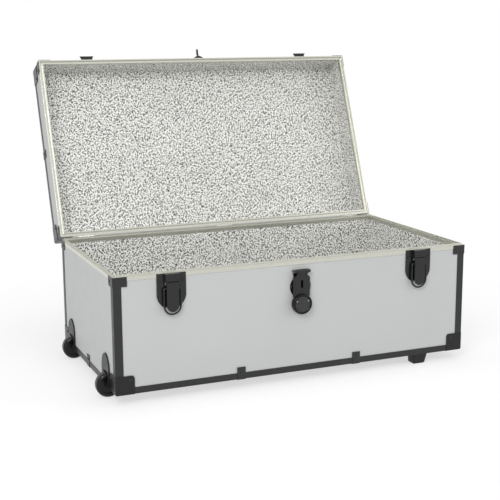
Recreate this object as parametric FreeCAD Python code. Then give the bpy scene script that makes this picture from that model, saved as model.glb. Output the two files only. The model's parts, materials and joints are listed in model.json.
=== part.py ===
"""Wheeled storage trunk with a hinged lid, modelled with the lid standing open.

Millimetres. The origin is on the floor under the middle of the base. +X runs to the end with the
pull handle and the feet, -Y is the front with the latches and the lock, +Z is up.
"""
import FreeCAD, Part
import math
import os

# Whole trunk, over the metal edge angles
trunk_length = 762.0
trunk_depth = 405.0
base_height = 228.0
lid_height = 69.0
ground_clearance = 20.5
lid_opening_angle = 112.0

# Boards and paper lining
board_thickness = 8.0
lining_thickness = 0.8

# Edge angles, and the caps, clips and clamps of the same sheet that lie over them
edge_sheet = 1.0
over_sheet = 1.0
corner_leg = 15.0
bottom_leg = 12.5
edge_setback = 20.0
edge_bend_radius = 2.0
cap_leg = 36.0
cap_corner_radius = 6.0
cap_bend_radius = 4.0
clip_leg = 26.0
clip_height = 19.0
clip_gap = 0.3
clip_bend_radius = 2.5
clamp_width = 17.5
clamp_leg = 24.0
clamp_bend_radius = 3.0
clamp_spread = 127.0

# Tongue and groove rims on the mating edges
rim_sheet = 1.0
rim_leg = 8.5
tongue_width = 2.0
tongue_height = 3.0
groove_width = 3.6
groove_depth = 4.0
groove_roof = 1.0

# Rivets
rivet_radius = 2.3
rivet_head = 1.1
rivet_top_share = 0.55

# Fits
running_gap = 0.05
press_gap = 0.02
side_gap = 0.4
seat_gap = 0.3
overrun = 5.0

# Hinges with a stop lug
hinge_cap_gap = 0.5
hinge_width = 36.0
hinge_sheet = 1.5
hinge_leaf_length = 30.0
hinge_axis_out = 5.0
hinge_knuckle_radius = 3.6
hinge_pin_radius = 2.0
hinge_centre_knuckle = 14.0
hinge_lug_length = 18.0
hinge_rivet_drop = 20.0
hinge_rivet_spread = 12.0

# Draw latches
latch_inset = 112.0
latch_width = 58.0
latch_drop = 0.8
latch_side = 43.0
latch_height = 66.0
latch_foot_width = 30.0
latch_bulge = 2.4
latch_sheet = 1.2
latch_rivet_spread = 23.8
latch_rivet_drop = 16.0
hood_front = 11.0
hood_wall = 1.5
hood_half_width = 12.5
hood_height = 15.0
hood_line_drop = 11.5
hood_line_depth = 0.4
hood_line_width = 0.8
cheek_drop = 24.0
lever_axis_out = 7.5
lever_axis_drop = 19.7
lever_knuckle_radius = 3.5
lever_pin_radius = 1.6
lever_sheet = 1.5
lever_length = 54.5
lever_flange_back = 5.0
lever_flange_length_share = 0.72
bail_axis_out = 7.0
bail_axis_drop = 28.9
bail_wire_radius = 1.75
bail_half_width = 16.6
bail_length = 50.4
bail_bend_radius = 3.2

# Latch keepers on the lid
keeper_width = 62.0
keeper_low = 9.5
keeper_high = 36.0
keeper_corner_radius = 5.0
keeper_sheet = 1.5
keeper_gap = 0.55
keeper_neck_out = 10.0
keeper_lip_out = 12.5
keeper_lip = 2.1
keeper_rivet_spread = 25.0
keeper_rivet_rise = 24.0

# Hasp with a round lock on its free end
hasp_axis_out = 8.0
hasp_axis_drop = 21.5
hasp_knuckle_radius = 3.0
hasp_pin_radius = 1.4
hasp_knuckle_half = 10.0
hasp_top_half = 18.5
hasp_half_width = 15.0
hasp_shoulder = 5.2
hasp_sheet = 2.0
hasp_slot_width = 5.0
hasp_slot_start = 16.85
hasp_slot_end = 33.15
hasp_plate_sheet = 1.2
hasp_plate_top = 18.6
hasp_plate_neck = 30.0
hasp_lobe_radius = 22.5
hasp_lobe_drop = 53.0
hasp_rivet_out = 18.6
lock_reach = 65.3
lock_radius = 20.5
lock_half_thickness = 6.4
lock_seat_radius = 19.5
lock_wall = 1.8
lock_cavity_radius = 17.0
lock_edge_bevel = 2.2
lock_face_radius = 15.6
lock_ring_rise = 1.8
lock_dot_spread = 12.2
lock_dot_rise = 6.2
lock_dot_radius = 1.6
plug_radius = 6.0
plug_flange = 1.5
plug_flange_sheet = 1.2
keyway_width = 1.8
keyway_length = 8.0
keyway_depth = 1.4
cam_offset = 4.74
cam_pin_radius = 1.5
bolt_half_width = 3.0
bolt_sheet = 1.8
bolt_gap = 0.3
bolt_tip = 34.2
yoke_wall = 2.1
yoke_gap = 0.4

# Staple on the lid
staple_half_width = 11.0
staple_low = 0.8
staple_high = 22.5
staple_sheet = 2.2
staple_mound_out = 6.4
staple_mound_half = 4.0
staple_mound_high = 13.0
finger_thickness = 3.6
finger_low = 3.0
finger_high = 9.5
finger_tip_high = 6.5
finger_out = 24.0
finger_notch_depth = 3.9
finger_notch_gap = 0.4
staple_rivet_rise = 18.0
staple_rivet_spread = 6.0

# Wheels in moulded housings at the left end
housing_cap_gap = 4.5
wheel_radius = 25.0
wheel_width = 22.0
wheel_shoulder = 7.0
wheel_out = -2.0
wheel_hub_radius = 8.0
wheel_dish_radius = 16.5
wheel_dish_depth = 3.0
axle_radius = 3.0
housing_wall = 2.0
housing_wheel_gap = 3.0
housing_side_gap = 2.0
housing_flange = 3.0
housing_flange_half = 25.0
housing_flange_shoulder = 36.0
housing_flange_tip = 67.0
housing_arch_share = 0.86
housing_boss_radius = 8.0

# Feet at the right end
foot_cap_gap = 44.0
foot_setback = 1.0
foot_top_length = 35.0
foot_top_depth = 26.0
foot_draft = 1.0
foot_slope = 6.0
foot_corner_radius = 4.0
foot_sole_radius = 3.0

# Pull handle on the right end
handle_drop = 74.0
handle_bracket_spread = 72.0
handle_bracket_width = 24.0
handle_bracket_height = 46.0
handle_bracket_corner = 6.0
handle_bracket_sheet = 2.0
handle_axis_out = 10.0
handle_knuckle_radius = 6.0
handle_pin_radius = 3.0
handle_arm_width = 11.0
handle_arm_thickness = 9.0
handle_arm_gap = 0.6
handle_length = 46.0
handle_grip_radius = 8.0
handle_grip_bevel = 3.0
handle_outer_radius = 15.0
handle_inner_radius = 6.0
handle_edge_radius = 2.5
handle_rivet_rise = 16.0

# Derived planes
underside = ground_clearance
parting = underside + base_height
half_x = trunk_length / 2 - edge_sheet
half_y = trunk_depth / 2 - edge_sheet
board_low = underside + edge_sheet
base_board_high = parting - rim_sheet
lid_board_low = parting + groove_depth + groove_roof
lid_board_high = parting + lid_height - edge_sheet
inner_x = half_x - board_thickness
inner_y = half_y - board_thickness
floor_high = board_low + board_thickness
roof_low = lid_board_high - board_thickness
hinge_y = half_y + hinge_axis_out

# Derived places along the walls, measured from their middles
hinge_spread = half_x - cap_leg - hinge_cap_gap - hinge_width / 2
latch_spread = half_x - latch_inset
wheel_spread = half_y - cap_leg - housing_cap_gap - housing_flange_half
foot_reach = half_x - cap_leg - foot_cap_gap - foot_top_length / 2

WALLS = ["front", "right", "back", "left"]
X_AXIS = FreeCAD.Vector(1, 0, 0)
Y_AXIS = FreeCAD.Vector(0, 1, 0)
Z_AXIS = FreeCAD.Vector(0, 0, 1)
ORIGIN = FreeCAD.Vector(0, 0, 0)


def block(x0, x1, y0, y1, z0, z1):
    """A box between two planes in each direction."""
    return Part.makeBox(x1 - x0, y1 - y0, z1 - z0, FreeCAD.Vector(x0, y0, z0))


def moved(shape, x, y, z):
    """A copy moved by x, y, z."""
    out = shape.copy()
    out.translate(FreeCAD.Vector(x, y, z))
    return out


def turned(shape, centre, axis, angle):
    """A copy turned about an axis through a point."""
    out = shape.copy()
    out.rotate(centre, axis, angle)
    return out


def fused(*shapes):
    """One clean solid from several that meet."""
    out = shapes[0]
    for shape in shapes[1:]:
        out = out.fuse(shape)
    return out.removeSplitter()


def less(shape, *tools):
    """A solid with other solids taken out of it."""
    for tool in tools:
        shape = shape.cut(tool)
    return shape


def flat_face(path, place):
    """A face bounded by straight runs and three-point arcs; a step with two points is an arc."""
    edges = []
    last = path[0]
    for step in path[1:] + path[:1]:
        if isinstance(step[0], tuple):
            middle, end = step
            edges.append(Part.Arc(place(last), place(middle), place(end)).toShape())
        else:
            end = step
            if end != last:
                edges.append(Part.makeLine(place(last), place(end)))
        last = end
    return Part.Face(Part.Wire(edges))


def plate(path, out0, out1):
    """An outline in x and z, as a plate between two distances out from the wall."""
    face = flat_face(path, lambda p: FreeCAD.Vector(p[0], -out0, p[1]))
    return face.extrude(FreeCAD.Vector(0, out0 - out1, 0))


def bar(path, x0, x1):
    """A profile in distance out from the wall and height, drawn out along the wall."""
    face = flat_face(path, lambda p: FreeCAD.Vector(x0, -p[0], p[1]))
    return face.extrude(FreeCAD.Vector(x1 - x0, 0, 0))


def rod_x(x0, x1, out, z, radius):
    """A round bar along the wall."""
    return Part.makeCylinder(radius, x1 - x0, FreeCAD.Vector(x0, -out, z), X_AXIS)


def rod_out(x, out0, out1, z, radius):
    """A round bar square to the wall."""
    return Part.makeCylinder(radius, out1 - out0, FreeCAD.Vector(x, -out0, z), -Y_AXIS)


def turned_out(profile, x, z):
    """A profile in radius and distance out, turned about an axis square to the wall."""
    face = flat_face(profile, lambda p: FreeCAD.Vector(x + p[0], -p[1], z))
    return face.revolve(FreeCAD.Vector(x, 0, z), Y_AXIS, 360)


def rivet(x, out, z, radius=rivet_radius):
    """A rivet's head on a face at a distance out from the wall."""
    top = radius * rivet_top_share
    return Part.makeCone(radius, top, rivet_head, FreeCAD.Vector(x, -out, z), -Y_AXIS)


def on_wall(shape, wall, along, height):
    """A piece drawn for the front wall's outer face, set on one of the four walls."""
    quarter_turns = WALLS.index(wall)
    reach = half_x if wall in ("left", "right") else half_y
    return turned(moved(shape, along, -reach, height), ORIGIN, Z_AXIS, 90 * quarter_turns)


def at_corners(shape, height):
    """A piece drawn for the front left corner, set at all four."""
    places = [(-half_x, -half_y), (half_x, -half_y), (half_x, half_y), (-half_x, half_y)]
    out = []
    for number, (x, y) in enumerate(places):
        out.append(moved(turned(shape, ORIGIN, Z_AXIS, 90 * number), x, y, height))
    return out


def upside_down(shape):
    """A copy mirrored in the plane z = 0."""
    return shape.mirror(ORIGIN, Z_AXIS)


def lid_opened(shape):
    """A piece of the closed lid, turned about the hinges to where it stands open."""
    return turned(shape, FreeCAD.Vector(0, hinge_y, parting), X_AXIS, -lid_opening_angle)


def save(name, *shapes):
    """Writes a node's solids and prints what they hold."""
    solids = [solid for shape in shapes for solid in shape.Solids]
    whole = Part.makeCompound(solids)
    whole.exportStep("parts/%s.step" % name)
    volume = sum(solid.Volume for solid in solids) / 1000
    print("%-22s %2d solids %9.2f cm3 %s" % (name, len(solids), volume, whole.isValid()))


def save_lid(name, *shapes):
    """Writes a node of the lid as it stands open."""
    save(name, *[lid_opened(shape) for shape in shapes])


# Wheel housings, which the boards and the lining are notched for

housing_radius = wheel_radius + housing_wheel_gap
housing_half = wheel_width / 2 + housing_side_gap
bucket_radius = housing_radius + housing_wall
bucket_half = housing_half + housing_wall


def housing_notch():
    """The room for one wheel bucket in the boards, drawn for the left wall as if it were the front."""
    half = bucket_half + seat_gap
    deep = bucket_radius - wheel_out + seat_gap
    return block(-half, half, -overrun, deep, -overrun, wheel_radius + bucket_radius + seat_gap)


def wheel_housing():
    """A moulded bucket with a leaf-shaped flange on the wall and bosses for the axle."""
    low = underside
    shoulder = low + housing_flange_shoulder
    tip = low + housing_flange_tip
    arch = (housing_flange_half * housing_arch_share, (shoulder + tip) / 2)
    leaf = [
        (-housing_flange_half, low),
        (-housing_flange_half, shoulder),
        ((-arch[0], arch[1]), (0, tip)),
        ((arch[0], arch[1]), (housing_flange_half, shoulder)),
        (housing_flange_half, low),
    ]
    flange = plate(leaf, 0, housing_flange)
    bucket = rod_x(-bucket_half, bucket_half, wheel_out, wheel_radius, bucket_radius)
    deep = bucket_radius - wheel_out
    inside = block(-bucket_half, bucket_half, 0, deep, low, wheel_radius + bucket_radius)
    bosses = rod_x(-bucket_half, bucket_half, wheel_out, wheel_radius, housing_boss_radius)
    room = rod_x(-housing_half, housing_half, wheel_out, wheel_radius, housing_radius)
    reach = bucket_half + overrun
    bore = rod_x(-reach, reach, wheel_out, wheel_radius, axle_radius + press_gap)
    return less(fused(flange, bucket.common(inside), bosses), room, bore)


def wheel_axle():
    """A plain pin pressed into both bosses."""
    return rod_x(-bucket_half, bucket_half, wheel_out, wheel_radius, axle_radius)


def wheel():
    """A solid wheel with round shoulders, a dished side and a hub."""
    half = wheel_width / 2
    flat = half - wheel_shoulder
    round_at = wheel_shoulder * math.sqrt(0.5)
    edge = (flat + round_at, wheel_radius - wheel_shoulder + round_at)
    dish = half - wheel_dish_depth
    bore = axle_radius + running_gap
    right = [
        (bore, -half), (wheel_hub_radius, -half), (wheel_hub_radius, -dish), (wheel_dish_radius, -dish),
        (wheel_dish_radius, -half), (wheel_radius - wheel_shoulder, -half),
        ((edge[1], -edge[0]), (wheel_radius, -flat)),
        (wheel_radius, flat),
        ((edge[1], edge[0]), (wheel_radius - wheel_shoulder, half)),
        (wheel_dish_radius, half), (wheel_dish_radius, dish), (wheel_hub_radius, dish),
        (wheel_hub_radius, half), (bore, half),
    ]
    face = flat_face(right, lambda p: FreeCAD.Vector(p[1], -wheel_out, wheel_radius + p[0]))
    return face.revolve(FreeCAD.Vector(0, -wheel_out, wheel_radius), X_AXIS, 360)


def build_wheels():
    """Housings, axles and wheels at the front and the back of the left end."""
    for name, along in (("front", wheel_spread), ("rear", -wheel_spread)):
        save(name + "_wheel_housing", on_wall(wheel_housing(), "left", along, 0))
        save(name + "_axle", on_wall(wheel_axle(), "left", along, 0))
        save(name + "_wheel", on_wall(wheel(), "left", along, 0))


# Boards and lining

notches = [on_wall(housing_notch(), "left", along, 0) for along in (wheel_spread, -wheel_spread)]


def build_base_boards():
    """Bottom, walls and paper lining of the base."""
    high = base_board_high
    save("front_panel", block(-half_x, half_x, -half_y, -inner_y, board_low, high))
    save("back_panel", block(-half_x, half_x, inner_y, half_y, board_low, high))
    save("left_panel", less(block(-half_x, -inner_x, -inner_y, inner_y, board_low, high), *notches))
    save("right_panel", block(inner_x, half_x, -inner_y, inner_y, board_low, high))
    save("bottom_panel", less(block(-inner_x, inner_x, -inner_y, inner_y, board_low, floor_high), *notches))
    t = lining_thickness
    outside = block(-inner_x, inner_x, -inner_y, inner_y, floor_high, parting - rim_leg)
    inside = block(-inner_x + t, inner_x - t, -inner_y + t, inner_y - t, floor_high + t, parting)
    save("base_lining", less(outside, inside, *notches))


def build_lid_boards():
    """Top, walls and paper lining of the lid."""
    low = lid_board_low
    save_lid("lid_top_panel", block(-half_x, half_x, -half_y, half_y, roof_low, lid_board_high))
    save_lid("lid_front_panel", block(-half_x, half_x, -half_y, -inner_y, low, roof_low))
    save_lid("lid_back_panel", block(-half_x, half_x, inner_y, half_y, low, roof_low))
    save_lid("lid_left_panel", block(-half_x, -inner_x, -inner_y, inner_y, low, roof_low))
    save_lid("lid_right_panel", block(inner_x, half_x, -inner_y, inner_y, low, roof_low))
    t = lining_thickness
    outside = block(-inner_x, inner_x, -inner_y, inner_y, parting + rim_leg, roof_low)
    inside = block(-inner_x + t, inner_x - t, -inner_y + t, inner_y - t, parting, roof_low - t)
    save_lid("lid_lining", less(outside, inside))


# Rims

def ring(out0, out1, z0, z1):
    """A rectangular ring between two distances out from the boards' outer faces."""
    outer = block(-half_x - out1, half_x + out1, -half_y - out1, half_y + out1, z0, z1)
    inner = block(-half_x - out0, half_x + out0, -half_y - out0, half_y + out0, z0, z1)
    return outer.cut(inner)


def mitred(whole, z0, z1):
    """A ring cut into four lengths that meet in mitres."""
    edge_x = half_x + rim_sheet + overrun
    edge_y = half_y + rim_sheet + overrun
    run = edge_y - overrun
    corner = [(-edge_x, -edge_y), (edge_x, -edge_y), (edge_x, edge_y), (-edge_x, edge_y)]
    inner = [(-edge_x + run, -edge_y + run), (edge_x - run, -edge_y + run)]
    inner += [(edge_x - run, edge_y - run), (-edge_x + run, edge_y - run)]
    lengths = []
    for k in range(len(corner)):
        after = (k + 1) % len(corner)
        path = [corner[k], corner[after], inner[after], inner[k]]
        face = flat_face(path, lambda p: FreeCAD.Vector(p[0], p[1], z0))
        lengths.append(whole.common(face.extrude(FreeCAD.Vector(0, 0, z1 - z0))))
    return lengths


def base_rim():
    """A channel over the walls' top edges, with a raised tongue."""
    inner = -board_thickness
    middle = -board_thickness / 2
    low = parting - rim_leg
    whole = fused(
        ring(0, rim_sheet, low, parting),
        ring(inner - rim_sheet, rim_sheet, base_board_high, parting),
        ring(inner - rim_sheet, inner, low, parting),
        ring(middle - tongue_width / 2, middle + tongue_width / 2, parting, parting + tongue_height),
    )
    return mitred(whole, low, parting + tongue_height)


def lid_rim():
    """A channel over the lid walls' edges, with a groove for the tongue."""
    inner = -board_thickness
    middle = -board_thickness / 2
    high = parting + rim_leg
    whole = fused(
        ring(0, rim_sheet, parting, high),
        ring(inner - rim_sheet, rim_sheet, parting, lid_board_low),
        ring(inner - rim_sheet, inner, parting, high),
    )
    groove = ring(middle - groove_width / 2, middle + groove_width / 2, parting, parting + groove_depth)
    return mitred(whole.cut(groove), parting, high)


# Edge angles

def fold(out, leg, bend):
    """A folded sheet's section round a square edge at the origin, with a rounded outer bend."""
    short = bend * (1 - math.sqrt(0.5)) - out
    return [
        (0, 0), (0, leg), (-out, leg), (-out, bend - out),
        ((short, short), (bend - out, -out)), (leg, -out), (leg, 0),
    ]


def upright_fold(out, leg, bend, z0, z1):
    """A folded sheet round an upright corner of the boards."""
    face = flat_face(fold(out, leg, bend), lambda p: FreeCAD.Vector(p[0], p[1], z0))
    return face.extrude(FreeCAD.Vector(0, 0, z1 - z0))


def level_fold(out, leg, bend, x0, x1):
    """A folded sheet round a lower edge of the boards."""
    face = flat_face(fold(out, leg, bend), lambda p: FreeCAD.Vector(x0, p[0], p[1]))
    return face.extrude(FreeCAD.Vector(x1 - x0, 0, 0))


def corner_angle(height):
    """An upright angle on a corner."""
    return upright_fold(edge_sheet, corner_leg, edge_bend_radius, 0, height)


def edge_angle(x0, x1):
    """An angle along the lower edge of a wall, from the boards' lower plane up."""
    return level_fold(edge_sheet, bottom_leg, edge_bend_radius, x0, x1)


def bottom_angles():
    """Front, back and right angles, and the left one between the wheel housings."""
    long_run = half_x - edge_setback
    short_run = half_y - edge_setback
    left_run = wheel_spread - housing_flange_half - seat_gap
    angles = []
    for wall, run in (("front", long_run), ("right", short_run), ("back", long_run), ("left", left_run)):
        angles.append(on_wall(edge_angle(-run, run), wall, 0, board_low))
    return angles


def lid_top_angles():
    """Angles along the four top edges of the lid."""
    long_run = half_x - edge_setback
    short_run = half_y - edge_setback
    angles = []
    for wall, run in (("front", long_run), ("right", short_run), ("back", long_run), ("left", short_run)):
        angles.append(on_wall(upside_down(edge_angle(-run, run)), wall, 0, lid_board_high))
    return angles


# Caps, clips and clamps over the angles

def corner_cap():
    """A three-legged pressed cap, ball-cornered, with a round corner on each leg, for a lower corner."""
    out = edge_sheet + over_sheet
    leg = cap_leg
    r = cap_corner_radius
    outer = block(-out, leg, -out, leg, -out, leg)
    tip = Part.Vertex(-out, -out, -out)
    bends = [edge for edge in outer.Edges if edge.distToShape(tip)[0] == 0]
    shell = outer.makeFillet(cap_bend_radius, bends).cut(block(0, leg, 0, leg, 0, leg))
    bend = r * (1 - math.sqrt(0.5))
    rounding = ((leg - bend, leg - bend), (leg - r, leg))
    square = [(-out, -out), (leg, -out), (leg, leg - r), rounding, (-out, leg)]
    span = leg + out
    for place, way in (
        (lambda p: FreeCAD.Vector(p[0], p[1], -out), Z_AXIS),
        (lambda p: FreeCAD.Vector(p[0], -out, p[1]), Y_AXIS),
        (lambda p: FreeCAD.Vector(-out, p[0], p[1]), X_AXIS),
    ):
        shell = shell.common(flat_face(square, place).extrude(way * span))
    return shell


def rim_clip():
    """A folded clip round an upper corner of the base, under the mating plane."""
    return upright_fold(edge_sheet + over_sheet, clip_leg, clip_bend_radius, -clip_height, -clip_gap)


def edge_clamp():
    """A folded clamp over a lower edge."""
    half = clamp_width / 2
    return level_fold(edge_sheet + over_sheet, clamp_leg, clamp_bend_radius, -half, half)


CLAMP_PLACES = [
    ("front", -clamp_spread), ("front", clamp_spread), ("back", -clamp_spread), ("back", clamp_spread),
    ("left", 0), ("right", 0),
]


def base_metal():
    """Every metal edge of the base; each outer piece is rebated over what it covers."""
    rims = base_rim()
    low = board_low + edge_setback
    uprights = at_corners(corner_angle(parting - rim_leg - low), low)
    bottoms = bottom_angles()
    under = rims + uprights + bottoms
    caps = [less(cap, *under) for cap in at_corners(corner_cap(), board_low)]
    clips = [less(clip, *under) for clip in at_corners(rim_clip(), parting)]
    clamps = [less(on_wall(edge_clamp(), wall, along, board_low), *bottoms) for wall, along in CLAMP_PLACES]
    save("base_rim", *rims)
    save("corner_angles", *uprights)
    save("bottom_angles", *bottoms)
    save("base_corner_caps", *caps)
    save("base_rim_clips", *clips)
    save("base_edge_clamps", *clamps)
    return under


def lid_metal():
    """Every metal edge of the lid, as for the base but upside down."""
    rims = lid_rim()
    low = parting + rim_leg
    uprights = at_corners(corner_angle(lid_board_high - edge_setback - low), low)
    tops = lid_top_angles()
    under = rims + uprights + tops
    caps = [less(cap, *under) for cap in at_corners(upside_down(corner_cap()), lid_board_high)]
    clips = [less(clip, *under) for clip in at_corners(upside_down(rim_clip()), parting)]
    clamp = upside_down(edge_clamp())
    clamps = [less(on_wall(clamp, wall, along, lid_board_high), *tops) for wall, along in CLAMP_PLACES]
    save_lid("lid_rim", *rims)
    save_lid("lid_corner_angles", *uprights)
    save_lid("lid_top_angles", *tops)
    save_lid("lid_corner_caps", *caps)
    save_lid("lid_rim_clips", *clips)
    save_lid("lid_edge_clamps", *clamps)
    return under


# Hinges

def hinge_leaf(x_ranges):
    """A leaf below the axis, with knuckles over the given stretches."""
    half = hinge_width / 2
    back = rim_sheet + running_gap
    leaf = block(-half, half, -hinge_sheet, 0, -hinge_leaf_length, -rim_leg)
    pieces = [leaf]
    for x0, x1 in x_ranges:
        pieces.append(block(x0, x1, -back - hinge_sheet, -back, -rim_leg - hinge_sheet, 0))
        pieces.append(rod_x(x0, x1, hinge_axis_out, 0, hinge_knuckle_radius))
    bore = rod_x(-half - overrun, half + overrun, hinge_axis_out, 0, hinge_pin_radius + running_gap)
    return fused(*pieces).cut(bore)


def hinge_pieces():
    """Base leaf, pin and lid leaf of one hinge; the lid leaf's lug stops the lid when it is open."""
    half = hinge_width / 2
    middle = hinge_centre_knuckle / 2
    outer = [(-half, -middle - side_gap), (middle + side_gap, half)]
    base_leaf = hinge_leaf(outer)
    pin = rod_x(-half, half, hinge_axis_out, 0, hinge_pin_radius)
    lid_leaf = upside_down(hinge_leaf([(-middle, middle)]))
    lug_open = block(-middle, middle, -hinge_sheet - hinge_sheet, -hinge_sheet, -hinge_lug_length, 0)
    bore = rod_x(-middle, middle, hinge_axis_out, 0, hinge_pin_radius + running_gap)
    axis = FreeCAD.Vector(0, -hinge_axis_out, 0)
    lug = turned(lug_open, axis, X_AXIS, -lid_opening_angle).cut(bore)
    return base_leaf, pin, fused(lid_leaf, lug)


def build_hinges():
    """Three hinges on the back wall, with their rivets."""
    base_leaf, pin, lid_leaf = hinge_pieces()
    places = (-hinge_spread, 0, hinge_spread)
    heads = [rivet(x, hinge_sheet, -hinge_rivet_drop) for x in (-hinge_rivet_spread, hinge_rivet_spread)]
    save("hinge_base_leaves", *[on_wall(base_leaf, "back", x, parting) for x in places])
    save("hinge_pins", *[on_wall(pin, "back", x, parting) for x in places])
    save_lid("hinge_lid_leaves", *[on_wall(lid_leaf, "back", x, parting) for x in places])
    lower = [on_wall(head, "back", x, parting) for x in places for head in heads]
    upper = [on_wall(upside_down(head), "back", x, parting) for x in places for head in heads]
    return lower, upper


# Draw latches

def latch_plate():
    """A shield-shaped plate with a hood over the lever's top and cheeks for its pin."""
    half = latch_width / 2
    foot = latch_foot_width / 2
    out = edge_sheet + latch_sheet
    bulge = ((half + foot) / 2 + latch_bulge, -(latch_side + latch_height) / 2 - latch_bulge)
    shield = [
        (-half, -latch_drop), (-half, -latch_side), ((-bulge[0], bulge[1]), (-foot, -latch_height)),
        (foot, -latch_height), ((bulge[0], bulge[1]), (half, -latch_side)), (half, -latch_drop),
    ]
    wide = hood_half_width + hood_wall
    low = -latch_drop - hood_height
    hood = block(-wide, wide, -hood_front, -out, low, -latch_drop)
    roof = -latch_drop - hood_wall
    hollow = block(-hood_half_width, hood_half_width, -hood_front + hood_wall, -out, low, roof)
    cheek = [
        (out, low), (hood_front, low), (hood_front, -lever_axis_drop),
        (lever_axis_out, -cheek_drop), (out, -cheek_drop),
    ]
    line_low = -hood_line_drop - hood_line_width
    line = block(-wide, wide, -hood_front, -hood_front + hood_line_depth, line_low, -hood_line_drop)
    whole = fused(
        plate(shield, 0, out), hood.cut(hollow),
        bar(cheek, -wide, -hood_half_width), bar(cheek, hood_half_width, wide),
    )
    reach = wide + overrun
    bore = rod_x(-reach, reach, lever_axis_out, -lever_axis_drop, lever_pin_radius + press_gap)
    return less(whole, line, bore)


def latch_lever():
    """A channel-section lever, rolled round its pin at the top and rounded at the thumb end."""
    half = hood_half_width - seat_gap
    top = -lever_axis_drop
    low = top - lever_length + half
    back = hood_front - lever_sheet
    tongue = [(-half, top), (-half, low), ((0, low - half), (half, low)), (half, top)]
    web = plate(tongue, back, hood_front)
    knuckle = rod_x(-half, half, lever_axis_out, top, lever_knuckle_radius)
    end = top - lever_length * lever_flange_length_share
    waist = (top + end) / 2
    side = [(lever_flange_back, top), (back, top), (back, end), (lever_flange_back, waist)]
    sides = [bar(side, x, x + lever_sheet) for x in (-half, half - lever_sheet)]
    whole = fused(web, knuckle, *sides)
    reach = half + overrun
    pin_bore = rod_x(-reach, reach, lever_axis_out, top, lever_pin_radius + running_gap)
    bail_bore = rod_x(-reach, reach, bail_axis_out, -bail_axis_drop, bail_wire_radius + running_gap)
    return less(whole, pin_bore, bail_bore)


def latch_pin():
    """The lever's pin, held in both cheeks."""
    reach = hood_half_width + hood_wall
    return rod_x(-reach, reach, lever_axis_out, -lever_axis_drop, lever_pin_radius)


def latch_bail():
    """A wire loop whose turned-in ends pivot in the lever's sides."""
    top = -bail_axis_drop
    half = bail_half_width
    bend = bail_bend_radius
    short = bend * (1 - math.sqrt(0.5))
    end = hood_half_width - seat_gap - lever_sheet
    low = top - bail_length + half

    def at(x, z):
        return FreeCAD.Vector(x, -bail_axis_out, z)

    path = Part.Wire([
        Part.makeLine(at(-end, top), at(-half + bend, top)),
        Part.Arc(at(-half + bend, top), at(-half + short, top - short), at(-half, top - bend)).toShape(),
        Part.makeLine(at(-half, top - bend), at(-half, low)),
        Part.Arc(at(-half, low), at(0, low - half), at(half, low)).toShape(),
        Part.makeLine(at(half, low), at(half, top - bend)),
        Part.Arc(at(half, top - bend), at(half - short, top - short), at(half - bend, top)).toShape(),
        Part.makeLine(at(half - bend, top), at(end, top)),
    ])
    section = Part.Wire([Part.makeCircle(bail_wire_radius, at(-end, top), X_AXIS)])
    return path.makePipeShell([section], True, False)


def latch_keeper():
    """A plate on the lid with a round-topped hook that the bail draws down on."""
    half = keeper_width / 2
    r = keeper_corner_radius
    short = r * (1 - math.sqrt(0.5))
    low, high = keeper_low, keeper_high
    flange = [
        (-half, low), (half, low), (half, high - r), ((half - short, high - short), (half - r, high)),
        (-half + r, high), ((-half + short, high - short), (-half, high - r)),
    ]
    arc_centre = -bail_axis_drop + bail_length - bail_half_width
    neck_radius = bail_half_width - bail_wire_radius - keeper_gap
    above = block(-half, half, -keeper_lip_out, 0, low, high)
    neck = rod_out(0, 0, keeper_neck_out, arc_centre, neck_radius).common(above)
    lip = rod_out(0, keeper_neck_out, keeper_lip_out, arc_centre, neck_radius + keeper_lip).common(above)
    return fused(plate(flange, 0, keeper_sheet), neck, lip)


def build_latches(under):
    """Two draw latches and their keepers."""
    shield = latch_plate()
    heads = []
    keeper_heads = []
    out = edge_sheet + latch_sheet
    for name, x in (("left", -latch_spread), ("right", latch_spread)):
        save(name + "_latch_plate", less(on_wall(shield, "front", x, parting), *under))
        save(name + "_latch_lever", on_wall(latch_lever(), "front", x, parting))
        save(name + "_latch_pin", on_wall(latch_pin(), "front", x, parting))
        save(name + "_latch_bail", on_wall(latch_bail(), "front", x, parting))
        save_lid(name + "_latch_keeper", on_wall(latch_keeper(), "front", x, parting))
        for side in (-1, 1):
            head = rivet(side * latch_rivet_spread, out, -latch_rivet_drop)
            heads.append(on_wall(head, "front", x, parting))
            head = rivet(side * keeper_rivet_spread, keeper_sheet, keeper_rivet_rise)
            keeper_heads.append(on_wall(head, "front", x, parting))
    return heads, keeper_heads


# Hasp lock

lock_z = -hasp_axis_drop - lock_reach
lock_back = hasp_axis_out - lock_half_thickness
strap_back = hasp_axis_out - hasp_sheet / 2
strap_front = hasp_axis_out + hasp_sheet / 2
lock_front = hasp_axis_out + lock_half_thickness
bolt_front = strap_back - bolt_gap
bolt_back = bolt_front - bolt_sheet


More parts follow.
